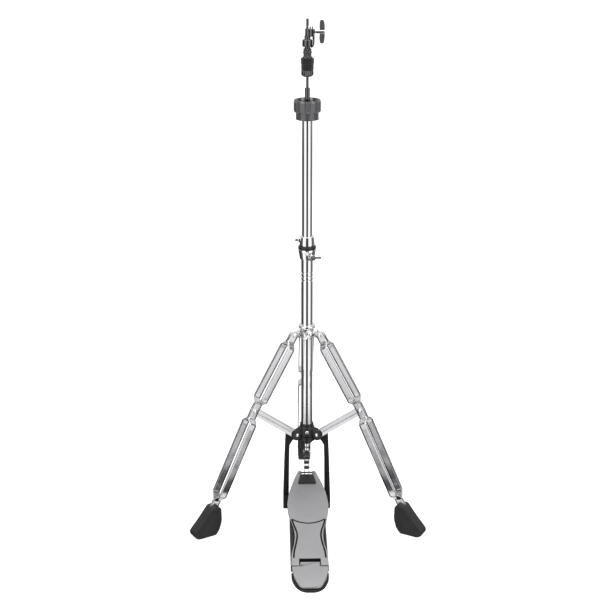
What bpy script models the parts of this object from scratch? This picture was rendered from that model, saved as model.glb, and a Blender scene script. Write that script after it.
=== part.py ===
"""Hi-hat stand: a pedal, a pull rod and a clutch on a folding tripod column.

Metres, +Z up. The origin is the column's axis on the floor, the pedal points
along -Y, and the three legs stand 120 degrees apart with one straight behind.
"""
import math

import bmesh
import bpy
from mathutils import Matrix, Vector

for old in list(bpy.data.objects):
    bpy.data.objects.remove(old, do_unlink=True)

# ---------------------------------------------------------------- dimensions
GAP = 0.0003            # air between two pieces that touch
RUN = 0.0004            # radial clearance of a piece that slides or turns

# Column
BASE_TUBE_R = 0.0127
BASE_TUBE_WALL = 0.0012
BASE_TUBE_TOP = 0.5955
UPPER_TUBE_R = BASE_TUBE_R - BASE_TUBE_WALL - RUN
UPPER_TUBE_WALL = 0.0012
UPPER_TUBE_OVERLAP = 0.125
UPPER_TUBE_REACH = 0.2895   # cymbal seat above the base tube's top
GROOVE_DEPTH = 0.0008
GROOVE_PITCH = 0.0085
GROOVE_COUNT = 3
GROOVE_DROP = 0.039     # first groove below the base tube's top

# Hub and legs
HUB_PIVOT_R = BASE_TUBE_R + 0.0141
HUB_PIVOT_Z = 0.184
HUB_BODY_R = BASE_TUBE_R + 0.0045
HUB_BOSS_R = BASE_TUBE_R + 0.0003
HUB_BOTTOM = HUB_PIVOT_Z - 0.025
HUB_SHOULDER = HUB_PIVOT_Z - 0.006
TUBE_SEAT = HUB_PIVOT_Z - 0.002       # the base tube stands on this ledge in the hub
HUB_TOP = HUB_PIVOT_Z + 0.016
HUB_SCREW_Z = HUB_PIVOT_Z + 0.006
HUB_COLLAR_R = BASE_TUBE_R + 0.0023
HUB_COLLAR_TOP = HUB_TOP + 0.007
EAR_THICKNESS = 0.0032
EAR_REACH = 0.0125
STRUT_LENGTH = 0.1330
STRUT_ANGLE = math.radians(37.5)
STRUT_WIDTH = 0.018
STRUT_THICKNESS = 0.003
UPPER_LEG = 0.1842
LUG_PIVOT_R = BASE_TUBE_R + 0.0203
LUG_THICKNESS = 0.004
LUG_REACH = 0.0095
LOWER_LEAN = math.radians(26.8)
STRIP_WIDTH = 0.019
STRIP_THICKNESS = 0.0025
STRIP_SPREAD = 0.0155
RIVET_R = 0.0028
RIVET_HEAD_R = 0.0055
RIVET_HEAD = 0.0022
BOOT_HEIGHT = 0.066
BOOT_HALF_WIDTH = 0.015
BOOT_LENGTH = 0.062
COLLAR_HEIGHT = 0.027
COLLAR_WALL = 0.0034
OPEN_PIVOT_TRAVEL = 0.0062
OPEN_PIVOT_SWAY = 0.0018     # how far outwards the rivet wanders halfway through the fold
COLLAR_BOLT_SWING = 12.0

# Pedal
HEEL_Y = -0.2975        # heel hinge axis
HEEL_Z = 0.0190
HEEL_PIN_R = 0.0025
TOP_OVER_HEEL = 0.0063  # footboard's top plane above the heel hinge
BOARD_THICKNESS = 0.0085
TOE_REACH = 0.006       # toe tip behind the column's axis
BOARD_END = 0.302
BOARD_HALF_HEEL = 0.0385
NOTCH_HALF = 0.0114
NOTCH_END = 0.0098
SLOT_START = 0.281
SLOT_HALF = 0.0221
TONGUE_START = 0.2917
TONGUE_HALF = 0.0200
HEEL_PLATE_START = 0.3045
HEEL_PLATE_END = 0.3662
RUBBER_HEIGHT = 0.0045
BASE_PLATE_THICKNESS = 0.004
BASE_PLATE_HALF = 0.0397
TAIL_HALF = 0.0300      # narrow end of the base plate, inside the heel rubber
TAIL_END = 0.345
POST_FRONT = -0.0035
POST_BACK = 0.0105
FOOT_FRONT = -0.0110
FOOT_HEIGHT = 0.030
FRAME_WAIST = 0.1150    # height at which the posts bend outwards
FOOT_WIDTH = 0.0130
FOOT_OUTER = BASE_PLATE_HALF + GAP + FOOT_WIDTH

# Rod, chain and clutch
ROD_R = 0.0027
CHAIN_PITCH = 0.0127
CHAIN_LINKS = 4
CHAIN_TOP = HUB_BOTTOM - 0.0239
TOP_Z = CHAIN_TOP - CHAIN_LINKS * CHAIN_PITCH + 0.0008   # footboard's top plane over the origin
TOP_SLOPE = math.atan((TOP_Z - HEEL_Z - TOP_OVER_HEEL) / -HEEL_Y)
CHAIN_PIN_R = 0.0017
CHAIN_ROLLER_R = 0.0040
CHAIN_PLATE_HALF = 0.0050
CHAIN_PLATE = 0.0012
CHAIN_INNER_HALF = 0.0030
CLEVIS_R = 0.00685
SPRING_R = BASE_TUBE_R - 0.0055
SPRING_WIRE = 0.0009
SPRING_TURNS = 8
SPRING_TOP = HUB_SHOULDER + 0.1265
ROD_COLLAR_R = BASE_TUBE_R - BASE_TUBE_WALL - 0.0020

# Clamps, seat and clutch heights
CLAMP_BOTTOM = BASE_TUBE_TOP - 0.0090
HEIGHT_BOLT_SWING = 32.0
CLAMP_TOP = BASE_TUBE_TOP + 0.0135
CLAMP_TOP_R = BASE_TUBE_R + 0.0061
BUSH_FLANGE_R = BASE_TUBE_R + 0.0013  # the bush's sleeve inside the clamp
BUSH_TOP = CLAMP_TOP + 0.0075
LOCK_TOP = BUSH_TOP + 0.0200
SEAT_BOTTOM = BASE_TUBE_TOP + UPPER_TUBE_REACH
SEAT_STEP = SEAT_BOTTOM + 0.0165
SEAT_TOP = SEAT_BOTTOM + 0.0410
SEAT_R = 0.0285
SEAT_LOWER_R = 0.0236
STEM_R = ROD_R + 0.00255
STEM_TOP = SEAT_TOP + 0.0240
CLUTCH_BOTTOM = SEAT_TOP + 0.0470
CLUTCH_NUT = 0.0130
FELT_R = 0.0135
FELT_HEIGHT = 0.0125
LOCK_NUT = 0.0095
SLEEVE_R = ROD_R + 0.0031
CLUTCH_HEAD_LOW = CLUTCH_BOTTOM + CLUTCH_NUT + 2 * FELT_HEIGHT + 2 * LOCK_NUT + GAP
CLUTCH_HEAD_TOP = CLUTCH_HEAD_LOW + 0.0457
CLUTCH_BOLT_Z = CLUTCH_HEAD_LOW + 0.0325
ROD_TOP = CLUTCH_HEAD_TOP + 0.0130
CLUTCH_HEAD_R = 0.0105
COLLAR_TOP_Z = CLUTCH_HEAD_LOW + 0.0172
CLUTCH_BLOCK_LOW = CLUTCH_HEAD_LOW + 0.0232
CLUTCH_BLOCK_TOP = CLUTCH_HEAD_LOW + 0.0392
CLUTCH_BLOCK_R = 0.0083
CLUTCH_OFFSET = 0.0035
STRAP_THICKNESS = 0.0022

KNEE_R = HUB_PIVOT_R + STRUT_LENGTH * math.cos(STRUT_ANGLE)
KNEE_Z = HUB_PIVOT_Z + STRUT_LENGTH * math.sin(STRUT_ANGLE)
UPPER_LEAN = math.asin((KNEE_R - LUG_PIVOT_R) / UPPER_LEG)
LUG_PIVOT_Z = KNEE_Z + UPPER_LEG * math.cos(UPPER_LEAN)
BOOT_ENTRY = (KNEE_Z - BOOT_HEIGHT + 0.004) / math.cos(LOWER_LEAN)
LEG_AZIMUTHS = {"front_left": 210.0, "front_right": 330.0, "rear": 90.0}


# ---------------------------------------------------------------- materials
def material(name, colour, roughness, metallic=0.0):
    made = bpy.data.materials.new(name)
    made.use_nodes = True
    shader = made.node_tree.nodes["Principled BSDF"]
    shader.inputs["Base Color"].default_value = (*colour, 1.0)
    shader.inputs["Roughness"].default_value = roughness
    shader.inputs["Metallic"].default_value = metallic
    made.diffuse_color = (*colour, 1.0)
    return made


CHROME = material("chrome", (0.72, 0.73, 0.74), 0.08, 1.0)
BLACK_STEEL = material("black_painted_steel", (0.03, 0.03, 0.032), 0.35)
SILVER_PAINT = material("silver_painted_casting", (0.42, 0.43, 0.44), 0.42, 0.6)
RUBBER = material("black_rubber", (0.035, 0.035, 0.035), 0.75)
NYLON = material("black_nylon", (0.04, 0.04, 0.042), 0.45)
GREY_PLASTIC = material("grey_plastic", (0.12, 0.12, 0.125), 0.35)
FELT = material("black_felt", (0.03, 0.03, 0.03), 0.95)
DARK_STEEL = material("dark_steel", (0.16, 0.16, 0.165), 0.3, 1.0)
SPRING_STEEL = material("spring_steel", (0.45, 0.45, 0.46), 0.25, 1.0)


# ---------------------------------------------------------------- shape tools
def empty(name, parent=None, location=(0, 0, 0), turn=(0, 0, 0)):
    """An axis that moving pieces hang from."""
    made = bpy.data.objects.new(name, None)
    bpy.context.scene.collection.objects.link(made)
    made.parent = parent
    made.location = location
    made.rotation_euler = turn
    return made


def add(name, mesh, look, parent=None, location=(0, 0, 0), turn=(0, 0, 0)):
    """An object from a mesh or a bmesh, shaded smooth with sharp corners."""
    if isinstance(mesh, bmesh.types.BMesh):
        shape = mesh
        mesh = bpy.data.meshes.new(name)
        shape.to_mesh(mesh)
        shape.free()
        mesh.shade_smooth()
        mesh.set_sharp_from_angle(angle=math.radians(35))
    made = bpy.data.objects.new(name, mesh)
    bpy.context.scene.collection.objects.link(made)
    if not mesh.materials:
        mesh.materials.append(look)
    made.parent = parent
    made.location = location
    made.rotation_euler = turn
    return made


def turned(profile, steps=18):
    """A closed outline of (radius, height) points turned about Z."""
    shape = bmesh.new()
    points = [shape.verts.new((radius, 0, height)) for radius, height in profile]
    edges = []
    for start, end in zip(points, points[1:] + points[:1]):
        if start.co.x > 0 or end.co.x > 0:
            edges.append(shape.edges.new((start, end)))
    bmesh.ops.spin(shape, geom=points + edges, axis=(0, 0, 1), cent=(0, 0, 0),
                   angle=math.tau, steps=steps)
    bmesh.ops.remove_doubles(shape, verts=shape.verts, dist=1e-6)
    bmesh.ops.recalc_face_normals(shape, faces=shape.faces)
    return shape


def rod(radius, low, high, steps=16):
    return turned([(0, low), (radius, low), (radius, high), (0, high)], steps)


def sleeve(outer, inner, low, high, steps=20):
    return turned([(outer, high), (outer, low), (inner, low), (inner, high)], steps)


def block(low, high):
    shape = bmesh.new()
    centre = [(a + b) / 2 for a, b in zip(low, high)]
    size = [b - a for a, b in zip(low, high)]
    place = Matrix.Translation(centre) @ Matrix.Diagonal((*size, 1.0))
    bmesh.ops.create_cube(shape, size=1.0, matrix=place)
    return shape


def plate(outline, start, end, turn=None):
    """An outline of (x, z) points extruded along Y, then turned by a matrix."""
    shape = bmesh.new()
    face = shape.faces.new([shape.verts.new((x, start, z)) for x, z in outline])
    grown = bmesh.ops.extrude_face_region(shape, geom=[face])
    moved = [item for item in grown["geom"] if isinstance(item, bmesh.types.BMVert)]
    bmesh.ops.translate(shape, verts=moved, vec=(0, end - start, 0))
    bmesh.ops.recalc_face_normals(shape, faces=shape.faces)
    if turn is not None:
        bmesh.ops.transform(shape, matrix=turn, verts=shape.verts)
    return shape


def arc(centre, radius, first, last, count):
    """Points on an arc of a circle, with angles in degrees."""
    points = []
    for step in range(count + 1):
        angle = math.radians(first + (last - first) * step / count)
        points.append((centre[0] + radius * math.cos(angle), centre[1] + radius * math.sin(angle)))
    return points


def smooth_curve(points, per_span):
    """Catmull-Rom curve through (x, y) points."""
    padded = [points[0]] + points + [points[-1]]
    curve = []
    for i in range(1, len(padded) - 2):
        before, start, end, after = padded[i - 1:i + 3]
        for step in range(per_span):
            t = step / per_span
            curve.append(tuple(
                0.5 * (2 * s + (e - b) * t + (2 * b - 5 * s + 4 * e - a) * t ** 2
                       + (3 * s - b - 3 * e + a) * t ** 3)
                for b, s, e, a in zip(before, start, end, after)))
    curve.append(points[-1])
    return curve


def tool(name, shape, target, operation="DIFFERENCE", **place):
    """A Boolean operand: hidden, drawn as wire, and used by one modifier."""
    other = add(name, shape, target.data.materials[0], **place)
    other.hide_render = True
    other.display_type = "WIRE"
    modifier = target.modifiers.new(name, "BOOLEAN")
    modifier.operation = operation
    modifier.solver = "EXACT"
    modifier.object = other
    return other


def bevel(target, width, segments=2):
    modifier = target.modifiers.new("rounded_edges", "BEVEL")
    modifier.width = width
    modifier.segments = segments
    modifier.limit_method = "ANGLE"
    modifier.angle_limit = math.radians(40)


def rivet(grip, shank=RIVET_R, head=RIVET_HEAD_R, height=RIVET_HEAD, steps=16):
    """A shank with a domed head at each end; grip is half the gripped stack."""
    dome = [(head * math.cos(a), height * math.sin(a)) for a in (0.0, 0.8)]
    upper = [(0, grip + height)] + [(r, grip + h) for r, h in reversed(dome)] + [(shank, grip)]
    return turned(upper + [(r, -z) for r, z in reversed(upper)], steps)


def wing(shaft_r, shaft_low, blade_low, reach, depth, half_span, thickness):
    """A wing bolt along Z: a round shaft and a flat blade with two raised lobes."""
    lobe = depth * 0.42
    top = blade_low + depth
    half = [(0, top - lobe * 1.1), (half_span * 0.35, top - lobe * 0.9)]
    half += arc((half_span - lobe, top - lobe), lobe, 110, -60, 5)
    half += [(reach, blade_low)]
    outline = half + [(-x, z) for x, z in reversed(half)][:-1]
    return rod(shaft_r, shaft_low, blade_low + depth * 0.35, 12), plate(outline, -thickness / 2, thickness / 2)


TURN_X = Matrix.Rotation(math.radians(90), 4, "X")


# ---------------------------------------------------------------- column
def base_tube():
    inner = BASE_TUBE_R - BASE_TUBE_WALL
    profile = [(BASE_TUBE_R, BASE_TUBE_TOP)]
    for ring in range(GROOVE_COUNT):
        middle = BASE_TUBE_TOP - GROOVE_DROP - ring * GROOVE_PITCH
        for drop, depth in ((0.0020, 0), (0.0010, GROOVE_DEPTH), (-0.0010, GROOVE_DEPTH), (-0.0020, 0)):
            profile.append((BASE_TUBE_R - depth, middle + drop))
    profile += [(BASE_TUBE_R, TUBE_SEAT + GAP), (inner, TUBE_SEAT + GAP), (inner, BASE_TUBE_TOP)]
    add("base_tube", turned(profile, 20), CHROME)
    bore = UPPER_TUBE_R + RUN
    shelf = CLAMP_TOP + GAP
    add("tube_bush", turned([(CLAMP_TOP_R - 0.002, BUSH_TOP), (CLAMP_TOP_R + 0.0002, BUSH_TOP - 0.0025),
                             (CLAMP_TOP_R + 0.0002, shelf), (BUSH_FLANGE_R, shelf), (BUSH_FLANGE_R, BASE_TUBE_TOP + 0.0020),
                             (bore + 0.0007, BASE_TUBE_TOP + GAP), (bore, BASE_TUBE_TOP + GAP), (bore, BUSH_TOP)], 20), NYLON)


def upper_tube(parent):
    low = BASE_TUBE_TOP - UPPER_TUBE_OVERLAP
    add("upper_tube", sleeve(UPPER_TUBE_R, UPPER_TUBE_R - UPPER_TUBE_WALL, low, SEAT_BOTTOM - GAP, 20),
        CHROME, parent)


def height_clamp():
    bore = BASE_TUBE_R + GAP
    rim = BUSH_FLANGE_R + 0.0003
    clamp = add("height_clamp", turned([(CLAMP_TOP_R, CLAMP_TOP), (CLAMP_TOP_R, CLAMP_TOP - 0.006),
                                        (bore + 0.0032, CLAMP_BOTTOM + 0.003), (bore + 0.0022, CLAMP_BOTTOM),
                                        (bore, CLAMP_BOTTOM), (bore, BASE_TUBE_TOP + 0.0005), (rim, BASE_TUBE_TOP + 0.0020),
                                        (rim, CLAMP_TOP)], 20), CHROME)
    middle = CLAMP_BOTTOM + 0.0075
    aim = (math.pi / 2, 0, math.radians(HEIGHT_BOLT_SWING))
    tool("clamp_boss", rod(0.0058, bore + 0.001, bore + 0.0085, 14), clamp, "UNION", location=(0, 0, middle), turn=aim)
    tool("clamp_bolt_hole", rod(0.0035, bore + 0.0006, 0.04, 12), clamp, location=(0, 0, middle), turn=aim)
    axis = empty("height_wing_axis", None, (0, 0, middle), aim)
    shaft, blade = wing(0.0031, bore + 0.0012, bore + 0.0092, 0.0055, 0.0110, 0.0165, 0.0032)
    bolt = add("height_wing_bolt", shaft, CHROME, axis)
    tool("height_wing_blade", blade, bolt, "UNION", parent=axis)


def memory_lock(parent):
    bore = UPPER_TUBE_R + GAP
    low = BUSH_TOP + GAP
    lock = add("memory_lock", turned([(0.0145, LOCK_TOP), (0.0152, LOCK_TOP - 0.002), (0.0163, low + 0.003),
                                      (0.0160, low), (bore, low), (bore, LOCK_TOP)], 20), CHROME, parent)
    middle = LOCK_TOP - 0.0075
    tool("lock_boss", rod(0.0058, 0, 0.0075), lock, "UNION", parent=parent, location=(-bore - 0.001, 0, middle),
         turn=(0, -math.pi / 2, 0))
    tool("lock_screw_hole", rod(0.0029, 0, 0.02), lock, parent=parent, location=(-bore - 0.0008, 0, middle),
         turn=(0, -math.pi / 2, 0))
    axis = empty("memory_screw_axis", parent, (-bore - 0.0012, 0, middle), (0, -math.pi / 2, 0))
    add("memory_lock_screw", turned([(0, 0.0140), (0.0030, 0.0140), (0.0044, 0.0130), (0.0044, 0.0085),
                                     (0.0025, 0.0085), (0.0025, 0), (0, 0)], 16), CHROME, axis)


def seat(parent):
    bore = ROD_R + 0.0008
    pocket = SEAT_TOP - 0.017
    profile = [(SEAT_R - 0.002, SEAT_TOP), (SEAT_R, SEAT_TOP - 0.004), (SEAT_R, SEAT_STEP + 0.004),
               (SEAT_R - 0.002, SEAT_STEP), (SEAT_LOWER_R, SEAT_STEP - 0.001),
               (SEAT_LOWER_R - 0.0005, SEAT_BOTTOM + 0.002), (SEAT_LOWER_R - 0.003, SEAT_BOTTOM),
               (bore, SEAT_BOTTOM), (bore, pocket), (SEAT_R - 0.0075, pocket), (SEAT_R - 0.0055, SEAT_TOP)]
    add("seat_cup", turned(profile, 32), GREY_PLASTIC, parent)
    low = pocket + GAP
    add("cup_stem", turned([(STEM_R - 0.0008, STEM_TOP), (STEM_R, STEM_TOP - 0.001), (STEM_R, low + 0.009),
                            (0.0085, low + 0.008), (0.0105, low + 0.003), (0.0105, low), (bore, low),
                            (bore, STEM_TOP)], 20), CHROME, parent)


# ---------------------------------------------------------------- hub and tripod
def lower_hub():
    bore = ROD_R + 0.0008
    seat_z = HUB_SHOULDER - 0.004
    socket = BASE_TUBE_R + GAP
    hub = add("lower_hub", turned([(HUB_COLLAR_R, HUB_COLLAR_TOP), (HUB_COLLAR_R, HUB_TOP + 0.001),
                                   (HUB_BODY_R - 0.002, HUB_TOP), (HUB_BODY_R, HUB_TOP - 0.002),
                                   (HUB_BODY_R, HUB_SHOULDER), (HUB_BOSS_R, HUB_SHOULDER),
                                   (HUB_BOSS_R, HUB_BOTTOM + 0.003), (HUB_BOSS_R - 0.003, HUB_BOTTOM),
                                   (bore, HUB_BOTTOM), (bore, seat_z), (socket - 0.003, seat_z),
                                   (socket - 0.003, TUBE_SEAT), (socket, TUBE_SEAT),
                                   (socket, HUB_COLLAR_TOP)], 20), BLACK_STEEL)
    inner = STRUT_THICKNESS / 2 + GAP
    root_x = HUB_BODY_R - 0.004
    outline = [(root_x, HUB_SHOULDER + 0.0005), (HUB_BODY_R + 0.0015, HUB_SHOULDER + 0.0005),
               (HUB_PIVOT_R - 0.003, HUB_PIVOT_Z - 0.0130)]
    outline += arc((HUB_PIVOT_R, HUB_PIVOT_Z), EAR_REACH, -80, 80, 6)
    outline += [(root_x, HUB_TOP - 0.001)]
    for leg, azimuth in LEG_AZIMUTHS.items():
        turn = (0, 0, math.radians(azimuth))
        for side, start in (("left", inner), ("right", -inner - EAR_THICKNESS)):
            ear = plate(outline, start, start + EAR_THICKNESS)
            tool(f"ear_{leg}_{side}", ear, hub, "UNION", turn=turn)
        hole = rod(RIVET_R + GAP, -0.02, 0.02, 12)
        bmesh.ops.transform(hole, matrix=Matrix.Translation((HUB_PIVOT_R, 0, HUB_PIVOT_Z)) @ TURN_X, verts=hole.verts)
        tool(f"ear_hole_{leg}", hole, hub, turn=turn)
        pin = rivet(inner + EAR_THICKNESS + GAP, head=0.0042, height=0.0016, steps=10)
        bmesh.ops.transform(pin, matrix=Matrix.Translation((HUB_PIVOT_R, 0, HUB_PIVOT_Z)) @ TURN_X, verts=pin.verts)
        add(f"hub_rivet_{leg}", pin, CHROME, turn=turn)
    tool("chain_guard", block((-HUB_BOSS_R + 0.0003, -0.0040, HUB_BOTTOM - 0.018), (-CLEVIS_R - 0.0012, 0.0040, HUB_BOTTOM + 0.004)),
         hub, "UNION")
    tool("hub_screw_hole", rod(0.0026, 0, 0.02, 12), hub, location=(0, -socket - 0.001, HUB_SCREW_Z),
         turn=(math.pi / 2, 0, 0))
    add("hub_screw", turned([(0, 0.0085), (0.0025, 0.0083), (0.0042, 0.0068), (0.0042, 0.0050 + GAP),
                             (0.0022, 0.0050 + GAP), (0.0022, 0), (0, 0)], 16), CHROME,
        location=(0, -socket - 0.0014, HUB_SCREW_Z), turn=(math.pi / 2, 0, 0))


def strip(spread_sign):
    """One leg strip in its leg's plane, with the knee rivet at its origin.

    Each station is (distance up the leg, sideways offset, share of the width).
    """
    knee = spread_sign * (STRUT_THICKNESS / 2 + GAP + STRIP_THICKNESS / 2)
    spread = spread_sign * STRIP_SPREAD
    lug = spread_sign * (LUG_THICKNESS / 2 + GAP + STRIP_THICKNESS / 2)
    foot = spread_sign * (STRIP_THICKNESS / 2 + GAP)
    boot = BOOT_ENTRY
    stations = [(-boot - 0.030, foot, 1.0), (-boot + 0.013, foot, 1.0), (-boot + 0.033, spread, 1.0),
                (-0.029, spread, 1.0), (-0.016, knee, 1.0), (0.0, knee, 1.0), (0.016, knee, 1.0),
                (0.029, spread, 1.0), (UPPER_LEG - 0.031, spread, 1.0), (UPPER_LEG - 0.015, lug, 1.0),
                (UPPER_LEG, lug, 1.0)]
    for angle in (25, 50, 72):
        turn = math.radians(angle)
        stations.append((UPPER_LEG + math.sin(turn) * STRIP_WIDTH / 2, lug, math.cos(turn)))
    upper = Vector((-math.sin(UPPER_LEAN), 0, math.cos(UPPER_LEAN)))
    lower = Vector((-math.sin(LOWER_LEAN), 0, math.cos(LOWER_LEAN)))
    side = Vector((0, 1, 0))
    shape = bmesh.new()
    rings = []
    for i, (along, offset, share) in enumerate(stations):
        direction = lower if along < 0 else upper
        centre = direction * along + side * offset
        if along == 0:
            direction = (lower + upper).normalized()
        across = direction.cross(side).normalized() * STRIP_WIDTH / 2 * share
        slopes = []
        for first, second in (stations[i - 1:i + 1], stations[i:i + 2]) if 0 < i < len(stations) - 1 else ():
            slopes.append(Vector((second[0] - first[0], second[1] - first[1])).normalized())
        if slopes:
            tangent = (slopes[0] + slopes[1]).normalized()
            stretch = 1 / tangent.dot(slopes[0])
            through = (side * tangent.x - direction * tangent.y) * stretch * STRIP_THICKNESS / 2
        else:
            through = side * STRIP_THICKNESS / 2
        corners = [centre + across + through, centre - across + through,
                   centre - across - through, centre + across - through]
        rings.append([shape.verts.new(corner) for corner in corners])
    for first, second in zip(rings, rings[1:]):
        for k in range(4):
            shape.faces.new((first[k], first[(k + 1) % 4], second[(k + 1) % 4], second[k]))
    shape.faces.new(rings[0])
    shape.faces.new(rings[-1])
    bmesh.ops.recalc_face_normals(shape, faces=shape.faces)
    return shape


def boot_outline():
    """Side view of a boot in its leg's plane, as (radius, height) from the knee."""
    entry_r = KNEE_R + BOOT_ENTRY * math.sin(LOWER_LEAN)
    top = BOOT_HEIGHT
    outline = [(entry_r - 0.0122, top - 0.006), (entry_r - 0.006, top), (entry_r + 0.0095, top + 0.001),
               (entry_r + 0.030, top - 0.024), (entry_r + 0.0545, 0.0150), (entry_r + 0.0530, 0.0060),
               (entry_r + 0.0440, 0.0), (entry_r + 0.0440 - BOOT_LENGTH * 0.66, 0.0),
               (entry_r - 0.0065, 0.0110), (entry_r - 0.0128, 0.0300)]
    return [(radius - KNEE_R, height - KNEE_Z) for radius, height in outline]


def leg(name, azimuth):
    base = empty(f"{name}_plane", None, turn=(0, 0, math.radians(azimuth)))
    hip = empty(f"{name}_hub_pivot", base, (HUB_PIVOT_R, 0, HUB_PIVOT_Z))
    knee = empty(f"{name}_knee_pivot", hip, (KNEE_R - HUB_PIVOT_R, 0, KNEE_Z - HUB_PIVOT_Z))
    half = STRUT_WIDTH / 2
    bar = arc((0, 0), half, 90, 270, 8) + arc((STRUT_LENGTH, 0), half, -90, 90, 8)
    turn = Matrix.Rotation(-STRUT_ANGLE, 4, "Y")
    strut = add(f"strut_{name}", plate(bar, -STRUT_THICKNESS / 2, STRUT_THICKNESS / 2, turn), CHROME, hip)
    for end, distance in (("hub", 0.0), ("knee", STRUT_LENGTH)):
        hole = rod(RIVET_R + GAP, -0.01, 0.01, 10)
        centre = turn @ Vector((distance, 0, 0))
        bmesh.ops.transform(hole, matrix=Matrix.Translation(centre) @ TURN_X, verts=hole.verts)
        tool(f"strut_{name}_{end}_hole", hole, strut, parent=hip)
    lug = Vector((LUG_PIVOT_R - KNEE_R, 0, LUG_PIVOT_Z - KNEE_Z))
    for side, sign in (("left", 1), ("right", -1)):
        piece = add(f"strip_{name}_{side}", strip(sign), CHROME, knee)
        for end, centre in (("knee", Vector((0, 0, 0))), ("lug", lug)):
            hole = rod(RIVET_R + GAP, -0.01, 0.01, 10)
            bmesh.ops.transform(hole, matrix=Matrix.Translation(centre) @ TURN_X, verts=hole.verts)
            tool(f"strip_{name}_{side}_{end}_hole", hole, piece, parent=knee)
    knee_grip = STRUT_THICKNESS / 2 + 2 * GAP + STRIP_THICKNESS
    lug_grip = LUG_THICKNESS / 2 + 2 * GAP + STRIP_THICKNESS
    for end, centre, grip in (("knee", Vector((0, 0, 0)), knee_grip), ("lug", lug, lug_grip)):
        pin = rivet(grip, steps=10)
        bmesh.ops.transform(pin, matrix=Matrix.Translation(centre) @ TURN_X, verts=pin.verts)
        add(f"{end}_rivet_{name}", pin, CHROME, knee)
    boot = add(f"boot_{name}", plate(boot_outline(), -BOOT_HALF_WIDTH, BOOT_HALF_WIDTH), RUBBER, knee)
    bevel(boot, 0.004)
    slot = block((-0.0002 - STRIP_WIDTH / 2 - GAP, -STRIP_THICKNESS - 3 * GAP, -BOOT_ENTRY - 0.0305),
                 (STRIP_WIDTH / 2 + GAP + 0.0002, STRIP_THICKNESS + 3 * GAP, -BOOT_ENTRY + 0.03))
    bmesh.ops.rotate(slot, verts=slot.verts, cent=(0, 0, 0), matrix=Matrix.Rotation(-LOWER_LEAN, 3, "Y"))
    tool(f"boot_{name}_slot", slot, boot, parent=knee)


def tripod_collar():
    """The sliding collar, with a slotted lug for each leg and a bolt boss in front."""
    bore = BASE_TUBE_R + RUN
    outer = bore + COLLAR_WALL
    low = LUG_PIVOT_Z - 0.0090
    high = low + COLLAR_HEIGHT
    axis = empty("collar_axis", None, (0, 0, LUG_PIVOT_Z))
    low -= LUG_PIVOT_Z
    high -= LUG_PIVOT_Z
    collar = add("tripod_collar", turned([(outer + 0.0022, high), (outer + 0.0022, high - 0.0045),
                                          (outer, high - 0.0060), (outer, low + 0.001), (outer - 0.001, low),
                                          (bore, low), (bore, high)], 20), CHROME, axis)
    reach = LUG_PIVOT_R + LUG_REACH
    root_x = bore + 0.0015
    for name, azimuth in LEG_AZIMUTHS.items():
        turn = (0, 0, math.radians(azimuth))
        outline = [(root_x, low + 0.001), (LUG_PIVOT_R - 0.003, low)]
        outline += arc((LUG_PIVOT_R, 0), LUG_REACH, -80, 70, 5)
        outline += [(LUG_PIVOT_R - 0.002, OPEN_PIVOT_TRAVEL + 0.0058), (root_x, OPEN_PIVOT_TRAVEL + 0.0075)]
        tool(f"lug_{name}", plate(outline, -LUG_THICKNESS / 2, LUG_THICKNESS / 2), collar, "UNION",
             parent=axis, turn=turn)
        radius = RIVET_R + OPEN_PIVOT_SWAY / 2 + GAP
        middle = LUG_PIVOT_R + OPEN_PIVOT_SWAY / 2
        slot = arc((middle, 0), radius, 180, 360, 6) + arc((middle, OPEN_PIVOT_TRAVEL), radius, 0, 180, 6)
        tool(f"lug_{name}_slot", plate(slot, -0.01, 0.01), collar, parent=axis, turn=turn)
    boss = rod(0.0062, bore + 0.001, outer + 0.0050, 16)
    aim = (math.pi / 2, 0, math.radians(COLLAR_BOLT_SWING))
    tool("collar_boss", boss, collar, "UNION", parent=axis, location=(0, 0, 0.0045), turn=aim)
    tool("collar_bolt_hole", rod(0.0034, bore + 0.0006, outer + 0.02, 12), collar, parent=axis,
         location=(0, 0, 0.0045), turn=aim)
    bolt_axis = empty("collar_wing_axis", axis, (0, 0, 0.0045), aim)
    start = outer + 0.0050 + 0.0006
    shaft, blade = wing(0.0030, bore + 0.0012, start, 0.0050, 0.0130, 0.0190, 0.0034)
    quarter = Matrix.Rotation(math.radians(36), 4, "Z")
    bmesh.ops.transform(blade, matrix=quarter, verts=blade.verts)
    bolt = add("collar_wing_bolt", shaft, CHROME, bolt_axis)
    tool("collar_wing_blade", blade, bolt, "UNION", parent=bolt_axis)


# ---------------------------------------------------------------- pedal
def top_height(forward):
    """Height of the footboard's top plane at a distance in front of the column."""
    return TOP_Z - forward * math.tan(TOP_SLOPE)


def tilted(outline, depth, sink=0.0):
    """A plan outline of (x, forward) points made into a slab under the sloping top plane."""
    shape = bmesh.new()
    top = [shape.verts.new((x, -forward, top_height(forward) - sink)) for x, forward in outline]
    face = shape.faces.new(top)
    grown = bmesh.ops.extrude_face_region(shape, geom=[face])
    moved = [item for item in grown["geom"] if isinstance(item, bmesh.types.BMVert)]
    normal = Vector((0, -math.sin(TOP_SLOPE), math.cos(TOP_SLOPE)))
    bmesh.ops.translate(shape, verts=moved, vec=-normal * depth)
    bmesh.ops.recalc_face_normals(shape, faces=shape.faces)
    return shape


def mirrored(half):
    """Closes an outline whose right half is given as (x, forward) points."""
    return half + [(-x, forward) for x, forward in reversed(half)]


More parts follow.
